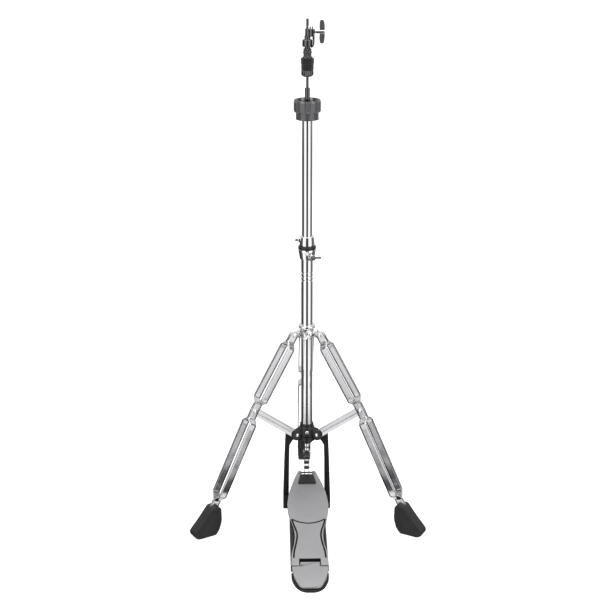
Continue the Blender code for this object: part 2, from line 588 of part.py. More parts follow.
def footboard(parent):
    side = smooth_curve([(-TOE_REACH, 0.0190), (0.003, 0.0222), (0.028, 0.0300), (0.0566, 0.0374), (0.0764, 0.0411),
                         (0.1066, 0.0443), (0.1300, 0.0433), (0.1616, 0.0383), (0.1876, 0.0335), (0.2114, 0.0320),
                         (0.2351, 0.0330), (0.2550, 0.0356), (0.2705, 0.0377), (BOARD_END, BOARD_HALF_HEEL)], 2)
    half = [(NOTCH_HALF, NOTCH_END), (NOTCH_HALF + 0.0012, -TOE_REACH)]
    half += [(width, forward) for forward, width in side]
    half += [(SLOT_HALF, BOARD_END), (SLOT_HALF, SLOT_START)]
    place = Vector((0, -HEEL_Y, -HEEL_Z))
    shape = tilted(mirrored(half), BOARD_THICKNESS)
    bmesh.ops.translate(shape, verts=shape.verts, vec=place)
    board = add("footboard", shape, SILVER_PAINT, parent)
    for side_name, sign in (("left", -1), ("right", 1)):
        low = min(sign * (SLOT_HALF + 0.0005), sign * (BOARD_HALF_HEEL - 0.001))
        barrel = rod(0.0056, low, low + BOARD_HALF_HEEL - SLOT_HALF - 0.0015, 16)
        tool(f"board_knuckle_{side_name}", barrel, board, "UNION", parent=parent, turn=(0, math.pi / 2, 0))
    tool("board_pin_hole", rod(HEEL_PIN_R + GAP, -0.05, 0.05, 12), board, parent=parent, turn=(0, math.pi / 2, 0))
    toe_z = top_height(0.0) - 0.0016
    for side_name, sign in (("left", -1), ("right", 1)):
        ends = sorted((sign * (NOTCH_HALF + 0.0008), sign * 0.0185))
        lug = block((ends[0], -0.0050, toe_z - 0.0062), (ends[1], 0.0050, toe_z + 0.0010))
        bmesh.ops.translate(lug, verts=lug.verts, vec=place)
        tool(f"toe_lug_{side_name}", lug, board, "UNION", parent=parent)
    centre = Vector((0, 0, CHAIN_TOP - CHAIN_LINKS * CHAIN_PITCH)) + place
    tool("toe_pin_hole", rod(CHAIN_PIN_R + 0.0006, -0.0152, 0.0152, 12), board, parent=parent,
         location=centre, turn=(0, math.pi / 2, 0))
    add("toe_pin", rod(CHAIN_PIN_R + 0.0003, -0.0148, 0.0148, 12), DARK_STEEL, parent, centre, (0, math.pi / 2, 0))
    stop = [(0.0143, NOTCH_END + 0.0030), (0.0201, 0.0414)]
    shape = tilted(mirrored(stop), 0.0040, -0.0040 - GAP)
    bmesh.ops.translate(shape, verts=shape.verts, vec=place)
    add("toe_stop", shape, RUBBER, parent)


def pedal_frame():
    ring = add("pedal_frame", sleeve(HUB_BOSS_R + 0.0062, HUB_BOSS_R + GAP, HUB_SHOULDER - 0.010, HUB_SHOULDER - GAP, 20), BLACK_STEEL)
    wide = BASE_PLATE_HALF
    low = HUB_SHOULDER
    half = [(HUB_BOSS_R + 0.0030, low - 0.0085), (HUB_BOSS_R + 0.0100, low - 0.0075), (wide - 0.0087, low - 0.0125),
            (wide - 0.0015, low - 0.0250), (wide - 0.0005, FRAME_WAIST), (wide + GAP, FOOT_HEIGHT),
            (wide + 0.0131, FOOT_HEIGHT), (wide + 0.0105, FRAME_WAIST), (wide + 0.0071, low + 0.0160),
            (wide + GAP, low + 0.0100), (wide - 0.0097, low + 0.0082), (HUB_BODY_R + GAP, low + 0.0075),
            (HUB_BODY_R + GAP, low - 0.0040), (HUB_BOSS_R + 0.0030, low - 0.0040)]
    for side, sign in (("left", -1), ("right", 1)):
        arm = plate([(sign * x, z) for x, z in half], POST_FRONT, POST_BACK)
        tool(f"frame_arm_{side}", arm, ring, "UNION")
        ends = sorted((sign * (BASE_PLATE_HALF + GAP), sign * FOOT_OUTER))
        foot = block((ends[0], FOOT_FRONT, 0.0), (ends[1], POST_BACK + 0.0010, FOOT_HEIGHT + 0.001))
        tool(f"frame_foot_{side}", foot, ring, "UNION")


def base_plate():
    outline = [(BASE_PLATE_HALF, 0.020), (BASE_PLATE_HALF, -0.2850), (TAIL_HALF, -0.2970), (TAIL_HALF, -TAIL_END)]
    outline += [(-x, y) for x, y in reversed(outline)]
    shape = bmesh.new()
    face = shape.faces.new([shape.verts.new((x, y, 0.0)) for x, y in outline])
    grown = bmesh.ops.extrude_face_region(shape, geom=[face])
    moved = [item for item in grown["geom"] if isinstance(item, bmesh.types.BMVert)]
    bmesh.ops.translate(shape, verts=moved, vec=(0, 0, BASE_PLATE_THICKNESS))
    bmesh.ops.recalc_face_normals(shape, faces=shape.faces)
    add("base_plate", shape, BLACK_STEEL)


def heel():
    """Heel plate with a hinge tongue, on a rubber pad that grips the base plate's end."""
    half = [(TONGUE_HALF, TONGUE_START), (TONGUE_HALF, HEEL_PLATE_START), (0.0376, HEEL_PLATE_START),
            (0.0364, 0.3160), (0.0318, 0.3390), (0.0219, 0.3616), (0.0120, HEEL_PLATE_END - 0.0012)]
    cover = add("heel_plate", tilted(mirrored(half), 0.0070), SILVER_PAINT)
    tool("heel_knuckle", rod(0.0058, -TONGUE_HALF + 0.001, TONGUE_HALF - 0.001, 16), cover, "UNION",
         location=(0, HEEL_Y, HEEL_Z), turn=(0, math.pi / 2, 0))
    tool("heel_pin_hole", rod(HEEL_PIN_R + GAP, -0.05, 0.05, 12), cover, location=(0, HEEL_Y, HEEL_Z),
         turn=(0, math.pi / 2, 0))
    flat = block((-0.06, -0.40, -0.01), (0.06, -0.29, RUBBER_HEIGHT + GAP))
    tool("heel_underside", flat, cover)
    add("heel_pin", rod(HEEL_PIN_R, -0.0380, 0.0380, 12), DARK_STEEL, None, (0, HEEL_Y, HEEL_Z), (0, math.pi / 2, 0))
    shape = bmesh.new()
    ring = [(0.0385, 0.2990), (0.0385, 0.3100), (0.0376, 0.3230), (0.0340, 0.3380), (0.0288, 0.3520),
            (0.0200, 0.3635), (0.0100, 0.3688)]
    face = shape.faces.new([shape.verts.new((x, -forward, 0.0)) for x, forward in mirrored(ring)])
    grown = bmesh.ops.extrude_face_region(shape, geom=[face])
    moved = [item for item in grown["geom"] if isinstance(item, bmesh.types.BMVert)]
    bmesh.ops.translate(shape, verts=moved, vec=(0, 0, RUBBER_HEIGHT))
    bmesh.ops.recalc_face_normals(shape, faces=shape.faces)
    pad = add("heel_rubber", shape, RUBBER)
    tool("heel_rubber_recess", block((-TAIL_HALF - GAP, -TAIL_END - GAP, -0.01), (TAIL_HALF + GAP, -0.25, 0.02)), pad)


# ---------------------------------------------------------------- drive
def pull_rod(parent):
    add("pull_rod", rod(ROD_R, CHAIN_TOP + 0.0200, ROD_TOP, 12), CHROME, parent)
    bore = ROD_R + GAP
    add("rod_collar", turned([(ROD_COLLAR_R, SPRING_TOP + 0.0090), (ROD_COLLAR_R, SPRING_TOP + GAP),
                              (bore, SPRING_TOP + GAP), (bore, SPRING_TOP + 0.0090)], 20), DARK_STEEL, parent)
    top = HUB_BOTTOM - GAP
    socket = CHAIN_TOP + 0.0198
    fork = add("clevis", turned([(CLEVIS_R - 0.001, top), (CLEVIS_R, top - 0.001), (CLEVIS_R, CHAIN_TOP - 0.0051),
                                 (CLEVIS_R - 0.001, CHAIN_TOP - 0.0064), (0, CHAIN_TOP - 0.0064), (0, socket),
                               (bore, socket), (bore, top)], 20),
               CHROME, parent)
    tool("clevis_slot", block((-CHAIN_PLATE_HALF + 0.0006, -0.01, CHAIN_TOP - 0.02), (CHAIN_PLATE_HALF - 0.0006, 0.01, CHAIN_TOP + 0.0069)), fork)
    tool("clevis_pin_hole", rod(CHAIN_PIN_R + GAP, -0.01, 0.01, 12), fork, parent=parent,
         location=(0, 0, CHAIN_TOP), turn=(0, math.pi / 2, 0))
    pin = turned([(0, 0.0086), (0.0026, 0.0084), (0.0026, 0.0072), (CHAIN_PIN_R, 0.0072), (CHAIN_PIN_R, -0.0072),
                  (0.0026, -0.0072), (0.0026, -0.0084), (0, -0.0086)], 12)
    add("clevis_pin", pin, DARK_STEEL, parent, (0, 0, CHAIN_TOP), (0, math.pi / 2, 0))


def chain_plate(x, waist=0.0030):
    """One link plate with round ends and a waist, hung below its upper hole."""
    half = arc((0, 0), 0.0046, -30, 210, 5) + [(-waist, -CHAIN_PITCH / 2)]
    half += arc((0, -CHAIN_PITCH), 0.0046, 150, 390, 5) + [(waist, -CHAIN_PITCH / 2)]
    shape = plate(half, x, x + CHAIN_PLATE)
    bmesh.ops.rotate(shape, verts=shape.verts, cent=(0, 0, 0), matrix=Matrix.Rotation(math.pi / 2, 3, "Z"))
    return shape


def chain(parent):
    """Four links below the clevis pin: inner and outer ones by turns."""
    for number in range(CHAIN_LINKS):
        inner = number % 2 == 0
        half = CHAIN_INNER_HALF if inner else CHAIN_INNER_HALF + CHAIN_PLATE + GAP
        name = f"chain_link_{number + 1}"
        place = {"parent": parent, "location": (0, 0, -number * CHAIN_PITCH)}
        link = add(name, chain_plate(half), DARK_STEEL, **place)
        tool(f"{name}_far_plate", chain_plate(-half - CHAIN_PLATE), link, "UNION", **place)
        for end in (0, 1):
            spot = {"parent": parent, "location": (0, 0, -(number + end) * CHAIN_PITCH), "turn": (0, math.pi / 2, 0)}
            if inner:
                tool(f"{name}_roller_{end}", rod(CHAIN_ROLLER_R, -half - 0.0002, half + 0.0002, 10), link, "UNION", **spot)
                tool(f"{name}_bore_{end}", rod(CHAIN_PIN_R + GAP, -0.01, 0.01, 8), link, **spot)
            elif number + end < CHAIN_LINKS:
                tool(f"{name}_pin_{end}", rod(CHAIN_PIN_R, -half - 0.0022, half + 0.0022, 8), link, "UNION", **spot)
            else:
                tool(f"{name}_bore_{end}", rod(CHAIN_PIN_R + 0.0009, -0.01, 0.01, 12), link, **spot)


def return_spring():
    """A helix of round wire whose closed ends sit on the hub and under the rod collar."""
    low = HUB_SHOULDER - 0.004 + GAP + SPRING_WIRE
    height = SPRING_TOP - GAP - SPRING_WIRE - low
    curve = bpy.data.curves.new("return_spring", "CURVE")
    curve.dimensions = "3D"
    curve.bevel_depth = SPRING_WIRE
    curve.bevel_resolution = 0
    curve.use_fill_caps = True
    count = SPRING_TURNS * 8
    wire = curve.splines.new("POLY")
    wire.points.add(count)
    for i, point in enumerate(wire.points):
        angle = math.tau * SPRING_TURNS * i / count
        point.co = (SPRING_R * math.cos(angle), SPRING_R * math.sin(angle), low + height * i / count, 1.0)
    curve.materials.append(SPRING_STEEL)
    made = bpy.data.objects.new("return_spring", curve)
    bpy.context.scene.collection.objects.link(made)


# ---------------------------------------------------------------- clutch
def clutch(parent):
    sleeve_bore = ROD_R + GAP
    low = CLUTCH_BOTTOM + 0.001
    head_low = CLUTCH_HEAD_LOW
    collar_low = head_low + 0.0030
    body = add("clutch_body", turned([(0.0062, CLUTCH_BLOCK_LOW + 0.002), (0.0062, COLLAR_TOP_Z), (CLUTCH_HEAD_R - 0.001, COLLAR_TOP_Z),
                                      (CLUTCH_HEAD_R, COLLAR_TOP_Z - 0.001), (CLUTCH_HEAD_R, collar_low + 0.001),
                                      (CLUTCH_HEAD_R - 0.001, collar_low), (SLEEVE_R, collar_low), (SLEEVE_R, low),
                                      (sleeve_bore, low), (sleeve_bore, CLUTCH_BLOCK_LOW + 0.002)], 20), DARK_STEEL, parent)
    tool("clutch_block", rod(CLUTCH_BLOCK_R, CLUTCH_BLOCK_LOW, CLUTCH_BLOCK_TOP, 20), body, "UNION", parent=parent,
         location=(CLUTCH_OFFSET, 0, 0))
    tool("clutch_knob", rod(0.0060, CLUTCH_BLOCK_TOP - 0.001, CLUTCH_HEAD_TOP, 16), body, "UNION", parent=parent,
         location=(CLUTCH_OFFSET + 0.0020, 0, 0))
    tool("clutch_bolt_hole", rod(0.0034, 0.0050, 0.03, 12), body, parent=parent, location=(0, 0, CLUTCH_BOLT_Z),
         turn=(0, math.pi / 2, 0))
    tool("clutch_bore", rod(sleeve_bore, CLUTCH_BOTTOM - 0.05, ROD_TOP + 0.05, 12), body, parent=parent)
    inner = CLUTCH_OFFSET + CLUTCH_BLOCK_R + GAP
    outer = inner + STRAP_THICKNESS
    bend = collar_low + 0.0050
    strap = [(outer, CLUTCH_BLOCK_TOP - 0.001), (outer, bend)]
    strap += [(x, z) for x, z in arc((outer - 0.0060, bend), 0.0060, -15, -75, 3)]
    strap += [(SLEEVE_R + 0.0010, head_low + 0.0003), (SLEEVE_R + 0.0010, collar_low - GAP), (CLUTCH_HEAD_R - 0.0006, collar_low - GAP),
              (CLUTCH_HEAD_R + GAP, collar_low + 0.0010), (inner, bend), (inner, CLUTCH_BLOCK_TOP - 0.001)]
    piece = add("clutch_strap", plate(strap, -0.0045, 0.0045), BLACK_STEEL, parent)
    tool("strap_bolt_hole", rod(0.0036, 0.0050, 0.03, 12), piece, parent=parent, location=(0, 0, CLUTCH_BOLT_Z),
         turn=(0, math.pi / 2, 0))
    axis = empty("clutch_wing_axis", parent, (0, 0, CLUTCH_BOLT_Z), (0, math.pi / 2, 0))
    shaft, blade = wing(0.0031, 0.0053, 0.0245, 0.0050, 0.0124, 0.0240, 0.0036)
    bolt = add("clutch_wing_bolt", shaft, DARK_STEEL, axis)
    bmesh.ops.transform(blade, matrix=Matrix.Rotation(math.radians(4), 4, "Z"), verts=blade.verts)
    tool("clutch_wing_blade", blade, bolt, "UNION", parent=axis)
    bore = SLEEVE_R + GAP
    for number, name in enumerate(("lower", "upper")):
        start = CLUTCH_HEAD_LOW - GAP - (2 - number) * LOCK_NUT
        nut = turned([(0.0078, start + LOCK_NUT - GAP), (0.0082, start + LOCK_NUT - 0.0010), (0.0082, start + 0.0028),
                      (0.0098, start + 0.0020), (0.0098, start + GAP), (bore, start + GAP), (bore, start + LOCK_NUT - GAP)], 18)
        add(f"lock_nut_{name}", nut, CHROME, parent)
        felt = CLUTCH_BOTTOM + CLUTCH_NUT + number * FELT_HEIGHT
        disc = turned([(FELT_R - 0.001, felt + FELT_HEIGHT - GAP), (FELT_R, felt + FELT_HEIGHT - 0.0018),
                       (FELT_R, felt + 0.0018), (FELT_R - 0.001, felt), (bore, felt), (bore, felt + FELT_HEIGHT - GAP)], 24)
        add(f"clutch_felt_{name}", disc, FELT, parent)
    nut = turned([(0.0115, CLUTCH_BOTTOM + CLUTCH_NUT - GAP), (0.0125, CLUTCH_BOTTOM + CLUTCH_NUT - 0.0015),
                  (0.0125, CLUTCH_BOTTOM + 0.0040), (0.0085, CLUTCH_BOTTOM), (bore, CLUTCH_BOTTOM),
                  (bore, CLUTCH_BOTTOM + CLUTCH_NUT - GAP)], 24)
    add("clutch_bottom_nut", nut, CHROME, parent)


base_tube()
height_clamp()
lower_hub()
pedal_frame()
base_plate()
heel()
return_spring()
for leg_name, leg_azimuth in LEG_AZIMUTHS.items():
    leg(leg_name, leg_azimuth)
tripod_collar()
column_slide = empty("height_slide_axis")
upper_tube(column_slide)
seat(column_slide)
memory_lock(empty("memory_lock_axis", column_slide))
heel_axis = empty("heel_axis", None, (0, HEEL_Y, HEEL_Z))
footboard(heel_axis)
rod_slide = empty("rod_slide_axis")
pull_rod(rod_slide)
chain(empty("chain_axis", rod_slide, (0, 0, CHAIN_TOP)))
clutch(empty("clutch_slide_axis", rod_slide))
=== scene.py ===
"""Looks of the hi-hat stand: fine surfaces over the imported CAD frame, their finishes, and the studio around them."""
import math

import bmesh
import bpy
import numpy as np
from bpy.props import FloatProperty, FloatVectorProperty, IntProperty, PointerProperty
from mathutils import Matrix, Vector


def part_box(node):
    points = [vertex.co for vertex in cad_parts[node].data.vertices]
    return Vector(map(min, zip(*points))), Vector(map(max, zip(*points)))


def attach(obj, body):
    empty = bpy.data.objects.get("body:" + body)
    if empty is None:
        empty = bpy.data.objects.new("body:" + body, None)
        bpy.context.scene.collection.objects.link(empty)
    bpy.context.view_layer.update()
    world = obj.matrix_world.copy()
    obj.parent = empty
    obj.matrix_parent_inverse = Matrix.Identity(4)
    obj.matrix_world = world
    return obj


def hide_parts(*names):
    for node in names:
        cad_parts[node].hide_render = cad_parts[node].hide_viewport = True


bl_info = {
    "name": "Hi-hat stand",
    "version": (1, 0, 0),
    "blender": (4, 5, 0),
    "location": "3D View > Sidebar > Hi-hat",
    "description": "Builds the column, tripod, pedal, chain drive and clutch of a hi-hat stand",
    "category": "Add Mesh",
}

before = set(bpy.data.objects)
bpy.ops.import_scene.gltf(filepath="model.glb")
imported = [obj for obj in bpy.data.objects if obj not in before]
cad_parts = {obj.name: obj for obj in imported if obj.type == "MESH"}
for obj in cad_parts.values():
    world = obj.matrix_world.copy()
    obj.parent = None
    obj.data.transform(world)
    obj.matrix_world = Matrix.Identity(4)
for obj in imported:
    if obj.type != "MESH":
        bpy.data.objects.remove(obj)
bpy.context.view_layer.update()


def low(node):
    return np.array(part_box(node)[0])


def high(node):
    return np.array(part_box(node)[1])


def middle(node):
    return (low(node) + high(node)) / 2


# ------------------------------------------------------------ where things are
TUBE_R = (high("base_tube") - low("base_tube"))[0] / 2
UPPER_R = (high("upper_tube") - low("upper_tube"))[0] / 2
ROD_R = (high("pull_rod") - low("pull_rod"))[0] / 2
TUBE_WALL = 0.0012
LEGS = {"front_left": 210.0, "front_right": 330.0, "rear": 90.0}
HUB_PIVOT = np.array([0.0, 0.0268, middle("hub_rivet_rear")[2]])
KNEE = np.array([0.0, middle("knee_rivet_rear")[1], middle("knee_rivet_rear")[2]])
LUG = np.array([0.0, middle("lug_rivet_rear")[1], middle("lug_rivet_rear")[2]])
TOE_PIN = middle("toe_pin")
HEEL_PIN = middle("heel_pin")
BOARD_TOP = TOE_PIN[2] + 0.0008
BOARD_RISE = (BOARD_TOP - HEEL_PIN[2] - 0.0063) / -HEEL_PIN[1]
CHAIN_PITCH = 0.0127
CHAIN_TOP = middle("clevis_pin")[2]


# ------------------------------------------------------------ shape tools
def loops(rows, columns, wrap):
    """Quads of a grid whose columns close round, and whose rows do too where wrap is true."""
    i, j = np.meshgrid(np.arange(rows if wrap else rows - 1), np.arange(columns), indexing="ij")
    down, across = (i + 1) % rows, (j + 1) % columns
    return np.stack([i * columns + j, i * columns + across, down * columns + across, down * columns + j], -1).reshape(-1, 4)


def turned(profile, steps=72, lobes=None):
    """A (radius, height) profile carried round Z: x = r cos a, y = r sin a; lobes(r, z, a) gives the changed r and z."""
    profile = np.asarray(profile, float)
    angle = np.linspace(0, math.tau, steps, endpoint=False)[None, :]
    radius, height = (np.repeat(profile[:, k:k + 1], steps, 1) for k in (0, 1))
    if lobes is not None:
        radius, height = lobes(radius, height, angle)
    points = np.stack([radius * np.cos(angle), radius * np.sin(angle), height], -1).reshape(-1, 3)
    ends_on_axis = profile[0, 0] == 0 and profile[-1, 0] == 0
    return points, loops(len(profile), steps, not ends_on_axis).tolist()


def eased(points, radius, per_corner=5):
    """A closed outline with each corner swapped for a curve: B = (1-t)^2 S + 2t(1-t) P + t^2 E, S and E a radius away."""
    points = np.asarray(points, float)
    radius = np.broadcast_to(np.asarray(radius, float), (len(points),))[:, None]
    ends = []
    for other in (np.roll(points, 1, 0), np.roll(points, -1, 0)):
        away = other - points
        length = np.linalg.norm(away, axis=1, keepdims=True)
        ends.append(points + away / length * np.minimum(radius, length * 0.49))
    t = np.linspace(0, 1, per_corner)[None, :, None]
    start, corner, end = ends[0][:, None], points[:, None], ends[1][:, None]
    return ((1 - t) ** 2 * start + 2 * t * (1 - t) * corner + t ** 2 * end).reshape(-1, points.shape[1])


def curve(points, per_span=8):
    """A smooth line through points: the Catmull-Rom cubic on each span."""
    points = np.asarray(points, float)
    padded = np.vstack([2 * points[0] - points[1], points, 2 * points[-1] - points[-2]])
    b, s, e, a = (padded[k:len(padded) - 3 + k][:, None] for k in range(4))
    t = np.linspace(0, 1, per_span, endpoint=False)[None, :, None]
    line = 0.5 * (2 * s + (e - b) * t + (2 * b - 5 * s + 4 * e - a) * t ** 2 + (3 * s - b - 3 * e + a) * t ** 3)
    return np.vstack([line.reshape(-1, points.shape[1]), points[-1]])


def circle(radius, count=32, centre=(0.0, 0.0)):
    angle = np.linspace(0, math.tau, count, endpoint=False)
    return np.stack([centre[0] + radius * np.cos(angle), centre[1] + radius * np.sin(angle)], -1)


def slab(outline, bottom, top, edge=0.0005, rows=4):
    """A plan outline carried up through w, pulled in by e(1 - sin q) at the rims so that both edges are rounded."""
    outline = np.asarray(outline, float)
    area = np.sum(outline[:, 0] * np.roll(outline[:, 1], -1) - np.roll(outline[:, 0], -1) * outline[:, 1])
    if area < 0:
        outline = outline[::-1]
    ahead = np.roll(outline, -1, 0) - outline
    behind = outline - np.roll(outline, 1, 0)
    ahead /= np.linalg.norm(ahead, axis=1, keepdims=True) + 1e-12
    behind /= np.linalg.norm(behind, axis=1, keepdims=True) + 1e-12
    tangent = ahead + behind
    tangent /= np.linalg.norm(tangent, axis=1, keepdims=True) + 1e-12
    inward = np.stack([-tangent[:, 1], tangent[:, 0]], -1)
    inward /= np.clip(np.sum(tangent * ahead, 1), 0.6, 1)[:, None]
    q = np.linspace(0, math.pi / 2, rows)
    pull = edge * np.concatenate([1 - np.sin(q), (1 - np.sin(q))[::-1]])
    w = np.concatenate([bottom + edge * (1 - np.cos(q)), (top - edge * (1 - np.cos(q)))[::-1]])
    flat = outline[None] + inward[None] * pull[:, None, None]
    height = np.broadcast_to(w[:, None, None], (*flat.shape[:2], 1))
    points = np.concatenate([flat, height], -1).reshape(-1, 3)
    count = len(outline)
    faces = loops(len(w), count, False).tolist()
    faces.append(list(range(count))[::-1])
    faces.append(list(range((len(w) - 1) * count, len(w) * count)))
    return points, faces


def swept(centres, across, through, section):
    """A section of (u, v) points carried along a path: p = centre + u across + v through."""
    section = np.asarray(section, float)
    points = centres[:, None] + section[None, :, :1] * across[:, None] + section[None, :, 1:] * through[:, None]
    count = len(section)
    faces = loops(len(centres), count, False).tolist()
    faces.append(list(range(count))[::-1])
    faces.append(list(range((len(centres) - 1) * count, len(centres) * count)))
    return points.reshape(-1, 3), faces


def placed(shape, origin=(0, 0, 0), axes=((1, 0, 0), (0, 1, 0), (0, 0, 1))):
    """A shape moved into place: p = origin + u U + v V + w W."""
    points, faces = shape
    return points @ np.asarray(axes, float) + np.asarray(origin, float), faces


def joined(*shapes):
    """Several closed shapes as one mesh."""
    points, faces, count = [], [], 0
    for part_points, part_faces in shapes:
        points.append(part_points)
        faces += [[corner + count for corner in face] for face in part_faces]
        count += len(part_points)
    return np.vstack(points), faces


def along(axis, span):
    """Axes for a shape whose own Z lies on axis and whose own X lies on span."""
    axis, span = (np.asarray(v, float) / np.linalg.norm(v) for v in (axis, span))
    return np.array([span, np.cross(axis, span), axis])


def leg_axes(azimuth):
    """U outwards along a leg, V to its side, W up."""
    angle = math.radians(azimuth)
    return np.array([[math.cos(angle), math.sin(angle), 0], [-math.sin(angle), math.cos(angle), 0], [0, 0, 1]])


def piece(name, shape, finish, body, slot, *nodes, sharp=40):
    """Puts a shape into a mesh with one finish, rides it on a CAD body and lets it stand for CAD nodes."""
    points, faces = shape
    mesh = bpy.data.meshes.new(name)
    mesh.from_pydata(points.tolist(), [], faces)
    work = bmesh.new()
    work.from_mesh(mesh)
    bmesh.ops.remove_doubles(work, verts=work.verts, dist=1e-6)
    bmesh.ops.dissolve_degenerate(work, edges=work.edges, dist=1e-7)
    bmesh.ops.triangulate(work, faces=[face for face in work.faces if len(face.verts) > 4])
    bmesh.ops.recalc_face_normals(work, faces=work.faces)
    work.to_mesh(mesh)
    work.free()
    mesh.shade_smooth()
    mesh.set_sharp_from_angle(angle=math.radians(sharp))
    mesh.materials.append(look(finish))
    made = bpy.data.objects.new(name, mesh)
    bpy.context.scene.collection.objects.link(made)
    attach(made, body)
    if nodes:
        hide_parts(*nodes)
    return made


# ------------------------------------------------------------ finishes
def linear(code):
    """An sRGB hex colour as the linear colour that shaders take."""
    parts = np.array([int(code[k:k + 2], 16) for k in (1, 3, 5)]) / 255
    return tuple(np.where(parts <= 0.04045, parts / 12.92, ((parts + 0.055) / 1.055) ** 2.4).tolist())


def node(tree, kind, settings=(), links=(), **sockets):
    """Adds one node, with its settings, its socket values and what its sockets are linked from."""
    made = tree.nodes.new(kind)
    for name, value in dict(settings).items():
        setattr(made, name, value)
    for name, value in sockets.items():
        made.inputs[name.replace("_", " ")].default_value = value
    for name, source in dict(links).items():
        tree.links.new(source, made.inputs[name])
    return made


# name: (colour property, darker share, metallic, roughness low, roughness high, grain mm, bump mm, cloud mm)
FINISHES = {
    # Bright chrome plated and buffed: mirror-like, with a faint roll of the tube under it.
    "buffed_chrome_plate": ("chrome", 0.96, 1.0, 0.04, 0.10, 18.0, 0.008, 60.0),
    # Chrome rolled thin on the leg strips: the same plating over a drier, duller rolled face.
    "rolled_strip_chrome": ("strip", 0.80, 1.0, 0.14, 0.20, 30.0, 0.003, 70.0),
    # Black nickel plating: a dark mirror that still shows the turned surface.
    "turned_black_nickel": ("nickel", 0.70, 1.0, 0.16, 0.30, 1.5, 0.010, 12.0),
    # Drawn steel rod, dark and smooth, which shows the dark room in front of it more than a plated tube does.
    "drawn_dark_rod": ("rod", 0.80, 1.0, 0.14, 0.24, 1.2, 0.006, 20.0),
    # Black powder coat on pressed steel: satin, with a fine orange peel about 1 mm wide.
    "satin_black_powder_coat": ("black", 0.75, 0.0, 0.30, 0.46, 1.0, 0.030, 25.0),
    # Silver hammer paint on a die casting: fine flake about 0.5 mm, drawn coarser to show.
    "silver_painted_casting": ("silver", 0.90, 0.35, 0.38, 0.52, 0.8, 0.015, 35.0),
    # The same silver paint coloured near black: painted shade on the side wall under the rim.
    "shaded_casting_wall": ("wall", 0.70, 0.0, 0.60, 0.75, 0.8, 0.015, 20.0),
    # Black enamel laid in the footboard's grooves: dull and flat.
    "black_enamel_inlay": ("black", 0.60, 0.0, 0.70, 0.82, 0.7, 0.010, 15.0),
    # Moulded rubber: matt dark grey with a fine spark-eroded grain.
    "moulded_black_rubber": ("rubber", 0.70, 0.0, 0.48, 0.66, 0.7, 0.040, 12.0),
    # Moulded nylon: black with a soft sheen.
    "moulded_black_nylon": ("black", 0.80, 0.0, 0.34, 0.48, 0.6, 0.015, 10.0),
    # Glossy moulded ABS: mid grey, with slight sink marks that bend the highlights.
    "moulded_grey_abs": ("plastic", 0.88, 0.4, 0.18, 0.28, 3.5, 0.012, 24.0),
    # Satin cast zinc of the clutch's wing: dark grey with a dull shine.
    "satin_dark_zinc": ("zinc", 0.85, 0.6, 0.30, 0.42, 1.0, 0.012, 14.0),
    # Pressed wool felt: black, very rough, with fibres about 0.5 mm apart.
    "pressed_black_felt": ("felt", 0.45, 0.0, 0.90, 1.00, 0.5, 0.250, 4.0),
    # Drawn spring wire: grey steel with fine drawing lines.
    "drawn_spring_wire": ("wire", 0.80, 1.0, 0.22, 0.34, 0.6, 0.010, 6.0),
}


def look(name):
    """Builds a finish once: two sizes of noise on Object coordinates vary its colour, roughness and relief."""
    if name in bpy.data.materials:
        return bpy.data.materials[name]
    colour_name, darker, metallic, rough_low, rough_high, grain, relief, cloud = FINISHES[name]
    colour = tuple(getattr(bpy.context.scene.hat_colours, colour_name))
    made = bpy.data.materials.new(name)
    made.use_nodes = True
    tree = made.node_tree
    shader = tree.nodes["Principled BSDF"]
    place = node(tree, "ShaderNodeTexCoord").outputs["Object"]
    fine = node(tree, "ShaderNodeTexNoise", {}, {"Vector": place}, Scale=1000 / grain, Detail=3.0, Roughness=0.6)
    broad = node(tree, "ShaderNodeTexNoise", {}, {"Vector": place}, Scale=1000 / cloud, Detail=2.0, Roughness=0.5)
    both = node(tree, "ShaderNodeMath", {"operation": "MULTIPLY_ADD"}, {0: fine.outputs["Fac"], 2: broad.outputs["Fac"]})
    both.inputs[1].default_value = 0.6
    share = node(tree, "ShaderNodeMapRange", {"clamp": True}, {"Value": both.outputs[0]}, From_Min=0.55, From_Max=1.05)
    tint = node(tree, "ShaderNodeMix", {"data_type": "RGBA"}, {"Factor": share.outputs[0]})
    tint.inputs[6].default_value = (*(c * darker for c in colour), 1.0)
    tint.inputs[7].default_value = (*colour, 1.0)
    rough = node(tree, "ShaderNodeMapRange", {"clamp": True}, {"Value": both.outputs[0]}, From_Min=0.55, From_Max=1.05,
                 To_Min=rough_low, To_Max=rough_high)
    raised = node(tree, "ShaderNodeBump", {}, {"Height": fine.outputs["Fac"]}, Strength=0.35, Distance=relief / 1000)
    tree.links.new(tint.outputs[2], shader.inputs["Base Color"])
    tree.links.new(rough.outputs[0], shader.inputs["Roughness"])
    tree.links.new(raised.outputs[0], shader.inputs["Normal"])
    shader.inputs["Metallic"].default_value = metallic
    # The inlay stays dull, and so does the side wall's painted shade.
    if name in ("black_enamel_inlay", "shaded_casting_wall"):
        shader.inputs["Specular IOR Level"].default_value = 0.15
    if name == "pressed_black_felt":
        shader.inputs["Sheen Weight"].default_value = 0.35
        shader.inputs["Sheen Roughness"].default_value = 0.5
    if name == "moulded_grey_abs":
        shader.inputs["Coat Weight"].default_value = 0.25
        shader.inputs["Coat Roughness"].default_value = 0.12
    return made


# ------------------------------------------------------------ column
def ring(outer, inner, bottom, top, edge=0.0006):
    """A tube wall's closed profile with eased rims."""
    return eased([(inner, bottom), (outer, bottom), (outer, top), (inner, top)], edge, 4)


